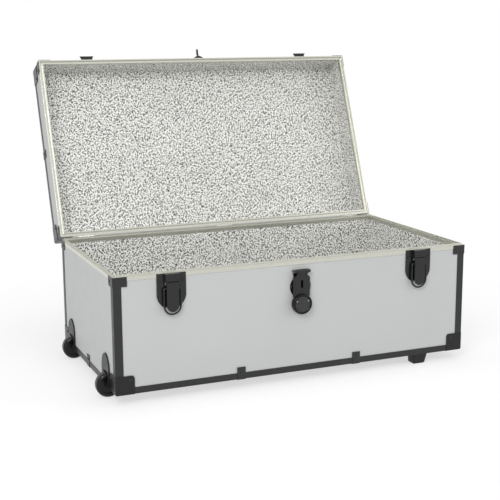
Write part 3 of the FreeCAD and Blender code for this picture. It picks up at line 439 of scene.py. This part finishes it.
def wheel_material(name, node):
    """Black moulded wheel with fine turning rings round its axle."""
    material, tree, shader, coords = new_material(name, specular=0.28)
    radius = radius_about(tree, coords, node)
    turns = add_node(tree, "Math", {0: radius, 1: WHEEL_RINGS}, operation="MULTIPLY").outputs[0]
    rings = add_node(tree, "Math", {0: turns}, operation="SINE").outputs[0]
    link(tree, mottled(tree, coords, finishes().wheel, scale=150.0, spread=0.12), shader, "Base Color")
    sheen = noise(tree, coords, scale=90.0, detail=4.0)
    link(tree, ranged(tree, sheen, low=0.1, high=0.2), shader, "Roughness")
    link(tree, bumped(tree, rings, depth=0.00002, strength=0.25), shader, "Normal")
    return material


# Edges of the CAD nodes

# Edges that turn by more are sharp, and faces that turn by less are one; lengths in metres
SHARP_ANGLE = math.radians(38)
FLAT_ANGLE = math.radians(0.5)
MERGE_DISTANCE = 0.000002
LENGTH_SHIFT = (0.0, 0.0, 2.0)
RIM_LENGTHS = 4
BEVEL_SEGMENTS = 2


def geometry_group(name):
    """A new group of geometry nodes, with one geometry in and one out."""
    group = bpy.data.node_groups.new(name, "GeometryNodeTree")
    for way in ("INPUT", "OUTPUT"):
        group.interface.new_socket("Geometry", in_out=way, socket_type="NodeSocketGeometry")
    return group


def shading_group():
    """Geometry nodes that shade faces smoothly and keep sharp edges sharp."""
    name = "smooth by angle"
    if name in bpy.data.node_groups:
        return bpy.data.node_groups[name]
    group = geometry_group(name)
    start = place_node(group, "NodeGroupInput").outputs[0]
    plain = place_node(group, "GeometryNodeRemoveAttribute", {"Geometry": start, "Name": "custom_normal"})
    faces = place_node(
        group, "GeometryNodeSetShadeSmooth", {"Geometry": plain.outputs["Geometry"]}, domain="FACE")
    bend = place_node(group, "GeometryNodeInputMeshEdgeAngle").outputs["Unsigned Angle"]
    sharp = place_node(group, "FunctionNodeCompare", {0: bend, 1: SHARP_ANGLE}, operation="GREATER_THAN")
    inputs = {
        "Geometry": faces.outputs["Geometry"], "Selection": sharp.outputs["Result"], "Shade Smooth": False}
    edges = place_node(group, "GeometryNodeSetShadeSmooth", inputs, domain="EDGE")
    place_node(group, "NodeGroupOutput", {0: edges.outputs["Geometry"]})
    return group


def lengths_group(name, faces):
    """Geometry nodes that merge each length of a mitred rim on its own; a length has a number of faces."""
    group = geometry_group(name)
    start = place_node(group, "NodeGroupInput").outputs[0]
    index = place_node(group, "GeometryNodeInputIndex").outputs[0]
    share = add_node(group, "Math", {0: index, 1: faces}, operation="DIVIDE").outputs[0]
    number = add_node(group, "Math", {0: share}, operation="FLOOR").outputs[0]
    on_faces = place_node(
        group, "GeometryNodeFieldOnDomain", {0: number}, domain="FACE", data_type="FLOAT").outputs[0]
    away = add_node(group, "VectorMath", {0: LENGTH_SHIFT, "Scale": on_faces}, operation="SCALE").outputs[0]
    kept = place_node(group, "GeometryNodeCaptureAttribute", {"Geometry": start}, domain="POINT")
    kept.capture_items.new("VECTOR", "away")
    group.links.new(away, kept.inputs["away"])
    shift = kept.outputs["away"]
    apart = place_node(
        group, "GeometryNodeSetPosition", {"Geometry": kept.outputs["Geometry"], "Offset": shift})
    merged = place_node(
        group, "GeometryNodeMergeByDistance",
        {"Geometry": apart.outputs["Geometry"], "Distance": MERGE_DISTANCE})
    home = add_node(group, "VectorMath", {0: shift, "Scale": -1.0}, operation="SCALE").outputs[0]
    together = place_node(
        group, "GeometryNodeSetPosition", {"Geometry": merged.outputs["Geometry"], "Offset": home})
    place_node(group, "NodeGroupOutput", {0: together.outputs["Geometry"]})
    return group


def merge_faces(piece, lengths):
    """Joins a CAD node's faces along their edges; lengths that only touch are left apart."""
    if lengths == 1:
        weld = piece.modifiers.new("merged", "WELD")
        weld.merge_threshold = MERGE_DISTANCE
    else:
        merged = piece.modifiers.new("merged lengths", "NODES")
        merged.node_group = lengths_group(piece.name + " lengths", len(piece.data.polygons) // lengths)


def round_edges(piece, name, width):
    """Rounds a piece's sharp edges by a width."""
    rounded = piece.modifiers.new(name, "BEVEL")
    rounded.width = width
    rounded.segments = BEVEL_SEGMENTS
    rounded.limit_method = "ANGLE"
    rounded.angle_limit = SHARP_ANGLE


def dress(node, material, edge, lengths=1):
    """Gives a CAD node its finish, and rounds its sharp edges by a width."""
    piece = NODES[node]
    piece.material_slots[0].material = material
    merge_faces(piece, lengths)
    flat = piece.modifiers.new("whole faces", "DECIMATE")
    flat.decimate_type = "DISSOLVE"
    flat.angle_limit = FLAT_ANGLE
    round_edges(piece, "rounded edges", edge)
    shading = piece.modifiers.new("shading", "NODES")
    shading.node_group = shading_group()
    even = piece.modifiers.new("even normals", "WEIGHTED_NORMAL")
    even.keep_sharp = True


def dress_all(names, material, edge):
    """Dresses several CAD nodes alike."""
    for name in names:
        dress(name, material, edge)


# Small domed heads

def lid_angle():
    """The angle that the lid swings through from open to shut."""
    return math.radians(max(JOINTS["lid_hinge"]["range_deg"]))


def lid_opening():
    """Takes a place on the shut lid to where the lid stands open at rest."""
    hinge = JOINTS["lid_hinge"]
    pivot = Matrix.Translation(hinge["pos_m"])
    return pivot @ Matrix.Rotation(-lid_angle(), 4, Vector(hinge["axis"])) @ pivot.inverted()


def deselect():
    """Leaves object mode with nothing selected."""
    if bpy.context.object and bpy.context.object.mode != "OBJECT":
        bpy.ops.object.mode_set(mode="OBJECT")
    bpy.ops.object.select_all(action="DESELECT")


# Places of a box's lowest and highest corners
LOW_CORNER, HIGH_CORNER = 0, 6


def solid_boxes(node, shut):
    """The boxes of a CAD node's separate solids, turned to where they lie when the lid is shut."""
    deselect()
    copy = bpy.data.objects.new("solids", NODES[node].data.copy())
    bpy.context.scene.collection.objects.link(copy)
    copy.data.transform(shut)
    copy.select_set(True)
    bpy.context.view_layer.objects.active = copy
    bpy.ops.object.mode_set(mode="EDIT")
    bpy.ops.mesh.select_all(action="SELECT")
    bpy.ops.mesh.remove_doubles(threshold=MERGE_DISTANCE)
    bpy.ops.mesh.separate(type="LOOSE")
    bpy.ops.object.mode_set(mode="OBJECT")
    boxes = []
    for part in bpy.context.selected_objects:
        corners = [Vector(corner) for corner in part.bound_box]
        boxes.append((corners[LOW_CORNER], corners[HIGH_CORNER]))
    bpy.ops.object.delete()
    return boxes


# Fineness of a dome, and the share of its height that is rounded
DOME_VERTICES = 20
DOME_SEGMENTS = 4
DOME_ROUNDING = 0.92


def dome(radius, height):
    """A low domed head on the floor at the origin, its back left flat."""
    deselect()
    bpy.ops.mesh.primitive_cylinder_add(
        vertices=DOME_VERTICES, radius=radius, depth=height, location=(0, 0, height / 2))
    head = bpy.context.object
    bpy.ops.object.transform_apply(location=True, rotation=True, scale=True)
    bpy.ops.object.mode_set(mode="EDIT")
    bpy.ops.mesh.select_mode(type="EDGE")
    bpy.ops.mesh.select_all(action="DESELECT")
    bpy.ops.object.mode_set(mode="OBJECT")
    for edge in head.data.edges:
        edge.select = all(head.data.vertices[k].co.z > height / 2 for k in edge.vertices)
    bpy.ops.object.mode_set(mode="EDIT")
    bpy.ops.mesh.bevel(
        offset=height * DOME_ROUNDING, segments=DOME_SEGMENTS, profile=0.5, affect="EDGES")
    bpy.ops.mesh.select_all(action="SELECT")
    bpy.ops.mesh.normals_make_consistent(inside=False)
    bpy.ops.object.mode_set(mode="OBJECT")
    bpy.ops.object.shade_smooth_by_angle(angle=SHARP_ANGLE)
    return head


def set_heads(name, head, places, opened, material, body):
    """Copies a head to its places on the shut trunk, opens the lid's ones and joins them as one piece."""
    deselect()
    copies = []
    for seat, outward in places:
        copy = bpy.data.objects.new(name, head.data.copy())
        bpy.context.scene.collection.objects.link(copy)
        turn = outward.to_track_quat("Z", "Y").to_matrix().to_4x4()
        copy.data.transform(opened @ Matrix.Translation(seat) @ turn)
        copy.select_set(True)
        copies.append(copy)
    piece = copies[0]
    bpy.context.view_layer.objects.active = piece
    bpy.ops.object.join()
    piece.data.materials.clear()
    piece.data.materials.append(material)
    piece.name = name
    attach(piece, body)
    bpy.data.objects.remove(head)
    return piece


def rivet_places(node, shut):
    """Seats and outward directions of a node's rivets, each on an outer wall."""
    places = []
    for low, high in solid_boxes(node, shut):
        size = high - low
        middle = (low + high) / 2
        axis = min(range(3), key=lambda k: size[k])
        outward = Vector((0, 0, 0))
        outward[axis] = math.copysign(1, middle[axis])
        places.append((middle - outward * size[axis] / 2, outward))
    return places


def rivet_heads(node, name, body, material, opened, at_back=False):
    """Domed heads in place of a node's plain rivets, either those on the back wall or all the others."""
    shut = opened.inverted()
    places = [(seat, way) for seat, way in rivet_places(node, shut) if (way.y > 0) == at_back]
    low, high = solid_boxes(node, shut)[0]
    radius = max(high - low) / 2
    head = dome(radius, sizes().rivet_height)
    piece = set_heads(name, head, places, opened, material, body)
    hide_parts(node)


def end_places(node, axis):
    """Seats and outward directions at both ends of a pin along x or y."""
    low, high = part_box(node)
    places = []
    for end, way in ((low, -1), (high, 1)):
        seat = (low + high) / 2
        seat[axis] = end[axis]
        outward = Vector((0, 0, 0))
        outward[axis] = way
        places.append((seat, outward))
    return places


def outer(low, high, axis):
    """A solid's outer and inner coordinates along x or y, and the direction from the trunk's middle."""
    middle = (low[axis] + high[axis]) / 2
    if middle > 0:
        return high[axis], low[axis], 1
    return low[axis], high[axis], -1


def corner_tacks(box, up, inset, rise):
    """Tack places on the upright legs of a cap or clip: seat and outward direction."""
    low, high = box
    edge_x, free_x, way_x = outer(low, high, 0)
    edge_y, free_y, way_y = outer(low, high, 1)
    free_z = high.z if up < 0 else low.z
    z = free_z + up * rise
    return [
        (Vector((free_x + way_x * inset, edge_y, z)), Vector((0, way_y, 0))),
        (Vector((edge_x, free_y + way_y * inset, z)), Vector((way_x, 0, 0))),
    ]


def level_tack(box, up, inset):
    """A tack place on a cap's level leg: seat and outward direction."""
    low, high = box
    _, free_x, way_x = outer(low, high, 0)
    _, free_y, way_y = outer(low, high, 1)
    z = low.z if up < 0 else high.z
    return Vector((free_x + way_x * inset, free_y + way_y * inset, z)), Vector((0, 0, up))


def clamp_tacks(box, up, inset, end_reach):
    """Tack places on a clamp's upright and level legs; the clamps on the end walls reach furthest in x."""
    low, high = box
    middle = (low + high) / 2
    axis = 0 if abs(outer(low, high, 0)[0]) > end_reach - inset else 1
    edge, free, way = outer(low, high, axis)
    upright = Vector(middle)
    upright[axis] = edge
    upright.z = (high.z if up < 0 else low.z) + up * inset
    side = Vector((0, 0, 0))
    side[axis] = way
    level = Vector(middle)
    level[axis] = free + way * inset
    level.z = low.z if up < 0 else high.z
    return [(upright, side), (level, Vector((0, 0, up)))]


# A clip's tacks sit nearer to its edges than a cap's
CLIP_INSET_SHARE = 0.8


def tack_places(prefix, up, shut):
    """Every tack of the base or the lid; up is where the closed side of its caps and clamps points."""
    inset = sizes().tack_inset
    places = []
    for box in solid_boxes(prefix + "_corner_caps", shut):
        places += corner_tacks(box, up, inset, inset)
        places.append(level_tack(box, up, inset))
    for box in solid_boxes(prefix + "_rim_clips", shut):
        rise = (box[1].z - box[0].z) / 2
        places += corner_tacks(box, up, inset * CLIP_INSET_SHARE, rise)
    clamps = solid_boxes(prefix + "_edge_clamps", shut)
    end_reach = max(abs(outer(low, high, 0)[0]) for low, high in clamps)
    for box in clamps:
        places += clamp_tacks(box, up, inset, end_reach)
    return places


# Rounded flanks of the hasp

# Fineness of the round that a flank is cut from
ROUND_VERTICES = 28


def apply_modifiers(piece):
    """Applies a new piece's modifiers in order."""
    bpy.context.view_layer.objects.active = piece
    for name in [modifier.name for modifier in piece.modifiers]:
        bpy.ops.object.modifier_apply(modifier=name)


def flank(side):
    """One upright quarter-round sheet that bends back from the strap's face, on the right or left side."""
    pin = Vector(JOINTS["hasp_flip"]["pos_m"])
    radius = sizes().flank_radius
    height = sizes().flank_end - sizes().flank_start
    centre = pin + Vector((
        side * sizes().strap_half, radius - sizes().strap_sheet / 2, -sizes().flank_start - height / 2))
    deselect()
    bpy.ops.mesh.primitive_cylinder_add(
        vertices=ROUND_VERTICES, radius=radius, depth=height, end_fill_type="NOTHING", location=centre)
    piece = bpy.context.object
    bpy.ops.object.transform_apply(location=True, rotation=True, scale=True)
    bpy.ops.object.mode_set(mode="EDIT")
    for kept_side in ((side, 0, 0), (0, -1, 0)):
        bpy.ops.mesh.select_all(action="SELECT")
        bpy.ops.mesh.bisect(plane_co=centre, plane_no=kept_side, clear_inner=True)
    bpy.ops.object.mode_set(mode="OBJECT")
    sheet = piece.modifiers.new("sheet", "SOLIDIFY")
    sheet.thickness = sizes().flank_sheet
    sheet.offset = -1.0
    round_edges(piece, "edges", sizes().sheet_edge)
    apply_modifiers(piece)
    return piece


def hasp_flanks(material):
    """Both rounded flanks of the hasp's strap."""
    right, left = flank(1), flank(-1)
    deselect()
    left.select_set(True)
    right.select_set(True)
    bpy.context.view_layer.objects.active = right
    bpy.ops.object.join()
    bpy.ops.object.shade_smooth_by_angle(angle=SHARP_ANGLE)
    right.name = "hasp_flanks"
    right.data.materials.append(material)
    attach(right, "hasp")


# Operators

class TrunkOperator(bpy.types.Operator):
    """Shared settings of the trunk's operators."""
    bl_options = {"REGISTER", "UNDO"}


class TRUNK_OT_boards(TrunkOperator):
    """Covers the boards of the base and the lid with grey vinyl"""
    bl_idname = "trunk.boards"
    bl_label = "Vinyl Boards"

    def execute(self, context):
        vinyl = vinyl_material()
        walls = ["front_panel", "back_panel", "left_panel", "right_panel"]
        dress_all(["bottom_panel", "lid_top_panel"], vinyl, sizes().pressed_edge)
        dress_all(walls + ["lid_" + wall for wall in walls], vinyl, sizes().pressed_edge)
        return {"FINISHED"}


class TRUNK_OT_linings(TrunkOperator):
    """Papers the inside of the base and the lid"""
    bl_idname = "trunk.linings"
    bl_label = "Paper Linings"

    def execute(self, context):
        dress("base_lining", lining_material("flecked paper of the base", 0.0), sizes().sheet_edge)
        dress("lid_lining", lining_material("flecked paper of the lid", lid_angle()), sizes().sheet_edge)
        return {"FINISHED"}


class TRUNK_OT_rims(TrunkOperator):
    """Gives the tongue and groove rims their satin metal"""
    bl_idname = "trunk.rims"
    bl_label = "Metal Rims"

    def execute(self, context):
        side_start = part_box("base_lining")[1].x
        base_metal = rim_material("satin rim of the base", 0.0, side_start)
        lid_metal = rim_material("satin rim of the lid", lid_angle(), side_start)
        dress("base_rim", base_metal, sizes().pressed_edge, RIM_LENGTHS)
        dress("lid_rim", lid_metal, sizes().pressed_edge, RIM_LENGTHS)
        return {"FINISHED"}


class TRUNK_OT_edging(TrunkOperator):
    """Paints the edge angles, caps, clips and clamps, and tacks them down"""
    bl_idname = "trunk.edging"
    bl_label = "Black Edging"

    def execute(self, context):
        paint = edging_material()
        angles = ["corner_angles", "bottom_angles", "lid_corner_angles", "lid_top_angles"]
        dress_all(angles, paint, sizes().sheet_edge)
        dress_all(["base_corner_caps", "lid_corner_caps"], cap_material(), sizes().sheet_edge)
        for prefix in ("base", "lid"):
            dress_all([prefix + "_rim_clips", prefix + "_edge_clamps"], paint, sizes().sheet_edge)
        for prefix, up, pose in (("base", -1, Matrix.Identity(4)), ("lid", 1, lid_opening())):
            places = tack_places(prefix, up, pose.inverted())
            head = dome(sizes().tack_radius, sizes().tack_height)
            set_heads(prefix + "_tacks", head, places, pose, paint, prefix)
        return {"FINISHED"}


class TRUNK_OT_hinges(TrunkOperator):
    """Plates the hinges"""
    bl_idname = "trunk.hinges"
    bl_label = "Hinges"

    def execute(self, context):
        nickel = nickel_material()
        dress_all(["hinge_base_leaves", "hinge_lid_leaves", "hinge_pins"], nickel, sizes().sheet_edge)
        return {"FINISHED"}


class TRUNK_OT_latches(TrunkOperator):
    """Paints the draw latches and their keepers"""
    bl_idname = "trunk.latches"
    bl_label = "Draw Latches"

    def execute(self, context):
        paint = hardware_material()
        steel = pin_material()
        for side in ("left", "right"):
            for name in ("_latch_plate", "_latch_lever", "_latch_keeper"):
                dress(side + name, paint, sizes().pressed_edge)
            dress(side + "_latch_bail", paint, sizes().sheet_edge)
            dress(side + "_latch_pin", steel, sizes().sheet_edge)
        places = end_places("left_latch_pin", 0) + end_places("right_latch_pin", 0)
        head = dome(sizes().pin_head_radius, sizes().pin_head_height)
        set_heads("latch_pin_heads", head, places, Matrix.Identity(4), steel, "base")
        return {"FINISHED"}


class TRUNK_OT_lock(TrunkOperator):
    """Paints the hasp, its lock and the staple"""
    bl_idname = "trunk.lock"
    bl_label = "Hasp Lock"

    def execute(self, context):
        paint = hardware_material()
        for name in ("hasp_plate", "hasp_strap", "lock_housing", "lock_staple"):
            dress(name, paint, sizes().pressed_edge)
        dress("lock_cover", lock_face_material(), sizes().pressed_edge)
        hasp_flanks(paint)
        dress_all(["key_plug", "lock_bolt"], paint, sizes().sheet_edge)
        dress("hasp_pin", pin_material(), sizes().sheet_edge)
        return {"FINISHED"}


class TRUNK_OT_wheels(TrunkOperator):
    """Finishes the wheels, their housings and axles"""
    bl_idname = "trunk.wheels"
    bl_label = "Wheels"

    def execute(self, context):
        plastic = plastic_material()
        steel = pin_material()
        for end in ("front", "rear"):
            dress(end + "_wheel_housing", plastic, sizes().moulded_edge)
            dress(end + "_axle", steel, sizes().sheet_edge)
            dress(end + "_wheel", wheel_material(end + " wheel", end + "_wheel"), sizes().pressed_edge)
        places = end_places("front_axle", 1) + end_places("rear_axle", 1)
        head = dome(sizes().axle_head_radius, sizes().axle_head_height)
        set_heads("axle_heads", head, places, Matrix.Identity(4), steel, "base")
        return {"FINISHED"}


class TRUNK_OT_feet(TrunkOperator):
    """Finishes the moulded feet"""
    bl_idname = "trunk.feet"
    bl_label = "Feet"

    def execute(self, context):
        dress_all(["front_foot", "rear_foot"], plastic_material(), sizes().moulded_edge)
        return {"FINISHED"}


class TRUNK_OT_handle(TrunkOperator):
    """Finishes the pull handle and its brackets"""
    bl_idname = "trunk.handle"
    bl_label = "Pull Handle"

    def execute(self, context):
        dress_all(["handle_brackets", "handle_grip"], plastic_material(), sizes().moulded_edge)
        return {"FINISHED"}


class TRUNK_OT_rivets(TrunkOperator):
    """Sets domed rivets in the hardware and the hinges"""
    bl_idname = "trunk.rivets"
    bl_label = "Rivets"

    def execute(self, context):
        paint = hardware_material()
        nickel = nickel_material()
        still = Matrix.Identity(4)
        opened = lid_opening()
        rivet_heads("base_rivets", "base_rivet_heads", "base", paint, still)
        rivet_heads("lid_rivets", "lid_rivet_heads", "lid", paint, opened)
        rivet_heads("lock_cover_rivets", "lock_dots", "hasp", pin_material(), still)
        rivet_heads("base_rivets", "base_hinge_rivets", "base", nickel, still, True)
        rivet_heads("lid_rivets", "lid_hinge_rivets", "lid", nickel, opened, True)
        return {"FINISHED"}


# Studio

# Shares of white in the floor, where its shadow fades in metres, and the lamps' places
FLOOR_BOUNCE = 0.8
FLOOR_SHADOW = 0.4
FLOOR_FADE = (0.5, 1.0)
WHITE = (1.0, 1.0, 1.0)
LAMP_AIM = Vector((0.0, 0.0, 0.3))
KEY_PLACE = Vector((-2.0, -2.3, 2.4))
FILL_PLACE = Vector((2.7, -1.7, 1.3))
TOP_PLACE = Vector((0.2, 0.1, 3.0))
SENSOR_WIDTH = 36.0


def light_path_seen(tree):
    """One where a ray comes from the camera, a mirror or glass, and nought for other light."""
    path = add_node(tree, "LightPath").outputs
    seen = add_node(
        tree, "Math", {0: path["Is Camera Ray"], 1: path["Is Glossy Ray"]}, operation="MAXIMUM").outputs[0]
    return add_node(tree, "Math", {0: seen, 1: path["Is Transmission Ray"]}, operation="MAXIMUM").outputs[0]


def studio_world(sky):
    """White behind the trunk and in reflections, and a plain soft sky for the light."""
    world = bpy.data.worlds.new("studio")
    world.use_nodes = True
    tree = world.node_tree
    background = tree.nodes["Background"]
    background.inputs["Color"].default_value = shade_of(WHITE, 1)
    strength = switched(tree, light_path_seen(tree), off=sky, on=1.0)
    tree.links.new(strength, background.inputs["Strength"])
    bpy.context.scene.world = world


def studio_floor(size):
    """A plain pale floor that keeps the trunk's shadow."""
    deselect()
    bpy.ops.mesh.primitive_plane_add(size=size)
    floor = bpy.context.object
    floor.name = "studio_floor"
    material = bpy.data.materials.new("pale floor")
    material.use_nodes = True
    tree = material.node_tree
    tree.nodes.remove(tree.nodes["Principled BSDF"])
    bounce = add_node(tree, "BsdfDiffuse", {"Color": shade_of(WHITE, FLOOR_BOUNCE)})
    shadow = add_node(tree, "BsdfDiffuse", {"Color": shade_of(WHITE, FLOOR_SHADOW)})
    glow = add_node(tree, "Emission", {"Strength": 1 - FLOOR_SHADOW})
    near = add_node(tree, "AddShader", {0: shadow.outputs[0], 1: glow.outputs[0]})
    white = add_node(tree, "Emission", {"Strength": 1.0})
    coords = add_node(tree, "TexCoord").outputs["Object"]
    away = add_node(tree, "VectorMath", {0: coords}, operation="LENGTH").outputs["Value"]
    fade = ranged(tree, away, 0.0, 1.0, *FLOOR_FADE)
    both = add_node(tree, "MixShader", {0: fade, 1: near.outputs[0], 2: white.outputs[0]})
    look = add_node(tree, "MixShader", {0: light_path_seen(tree), 1: bounce.outputs[0], 2: both.outputs[0]})
    tree.links.new(look.outputs[0], tree.nodes["Material Output"].inputs["Surface"])
    floor.data.materials.append(material)


def studio_lamp(name, watts, size, place):
    """A large square lamp aimed at the trunk."""
    lamp = bpy.data.lights.new(name, "AREA")
    lamp.energy = watts
    lamp.shape = "SQUARE"
    lamp.size = size
    holder = bpy.data.objects.new(name, lamp)
    holder.location = place
    holder.rotation_euler = (LAMP_AIM - place).to_track_quat("-Z", "Y").to_euler()
    bpy.context.scene.collection.objects.link(holder)


def studio_camera(studio):
    """The camera at the photograph's angle."""
    camera = bpy.data.cameras.new("camera")
    camera.lens = studio.lens
    camera.sensor_width = SENSOR_WIDTH
    holder = bpy.data.objects.new("camera", camera)
    level = math.cos(studio.elevation)
    back = Vector((
        math.sin(studio.azimuth) * level, -math.cos(studio.azimuth) * level, math.sin(studio.elevation)))
    holder.location = Vector(studio.target) + back * studio.distance
    aim = (-back).to_track_quat("-Z", "Y").to_matrix()
    holder.rotation_euler = (aim @ Matrix.Rotation(studio.roll, 3, "Z")).to_euler()
    bpy.context.scene.collection.objects.link(holder)
    bpy.context.scene.camera = holder


class TRUNK_OT_stage(TrunkOperator):
    """Sets the floor, the soft light and the camera"""
    bl_idname = "trunk.stage"
    bl_label = "Studio"

    def execute(self, context):
        studio = context.scene.trunk_studio
        context.scene.view_settings.view_transform = "Standard"
        studio_world(studio.sky)
        studio_floor(studio.floor_size)
        studio_lamp("key", studio.key, studio.lamp_size, KEY_PLACE)
        studio_lamp("fill", studio.fill, studio.lamp_size, FILL_PLACE)
        studio_lamp("top", studio.top, studio.lamp_size, TOP_PLACE)
        studio_camera(studio)
        return {"FINISHED"}


# Sidebar, registration and the run

STEPS = [
    TRUNK_OT_boards, TRUNK_OT_linings, TRUNK_OT_rims, TRUNK_OT_edging, TRUNK_OT_hinges, TRUNK_OT_latches,
    TRUNK_OT_lock, TRUNK_OT_wheels, TRUNK_OT_feet, TRUNK_OT_handle, TRUNK_OT_rivets, TRUNK_OT_stage,
]


class TRUNK_PT_sidebar(bpy.types.Panel):
    """The trunk's settings and steps."""
    bl_idname = "TRUNK_PT_sidebar"
    bl_label = "Wheeled Storage Trunk"
    bl_space_type = "VIEW_3D"
    bl_region_type = "UI"
    bl_category = "Trunk"

    def draw(self, context):
        column = self.layout.column()
        scene = context.scene
        for settings in (scene.trunk_finishes, scene.trunk_sizes, scene.trunk_studio):
            for name in settings.__annotations__:
                column.prop(settings, name)
        for step in STEPS:
            column.operator(step.bl_idname)


CLASSES = [TrunkFinishes, TrunkSizes, TrunkStudio, *STEPS, TRUNK_PT_sidebar]


def register():
    """Registers the classes and hangs the settings on the scene."""
    for cls in CLASSES:
        bpy.utils.register_class(cls)
    bpy.types.Scene.trunk_finishes = PointerProperty(type=TrunkFinishes)
    bpy.types.Scene.trunk_sizes = PointerProperty(type=TrunkSizes)
    bpy.types.Scene.trunk_studio = PointerProperty(type=TrunkStudio)


def unregister():
    """Takes the settings and the classes away again."""
    for name in ("trunk_finishes", "trunk_sizes", "trunk_studio"):
        delattr(bpy.types.Scene, name)
    for cls in reversed(CLASSES):
        bpy.utils.unregister_class(cls)


def main():
    """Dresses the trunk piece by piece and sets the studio."""
    register()
    bpy.ops.trunk.boards()
    bpy.ops.trunk.linings()
    bpy.ops.trunk.rims()
    bpy.ops.trunk.edging()
    bpy.ops.trunk.hinges()
    bpy.ops.trunk.latches()
    bpy.ops.trunk.lock()
    bpy.ops.trunk.wheels()
    bpy.ops.trunk.feet()
    bpy.ops.trunk.handle()
    bpy.ops.trunk.rivets()
    bpy.ops.trunk.stage()


if __name__ == "__main__":
    main()
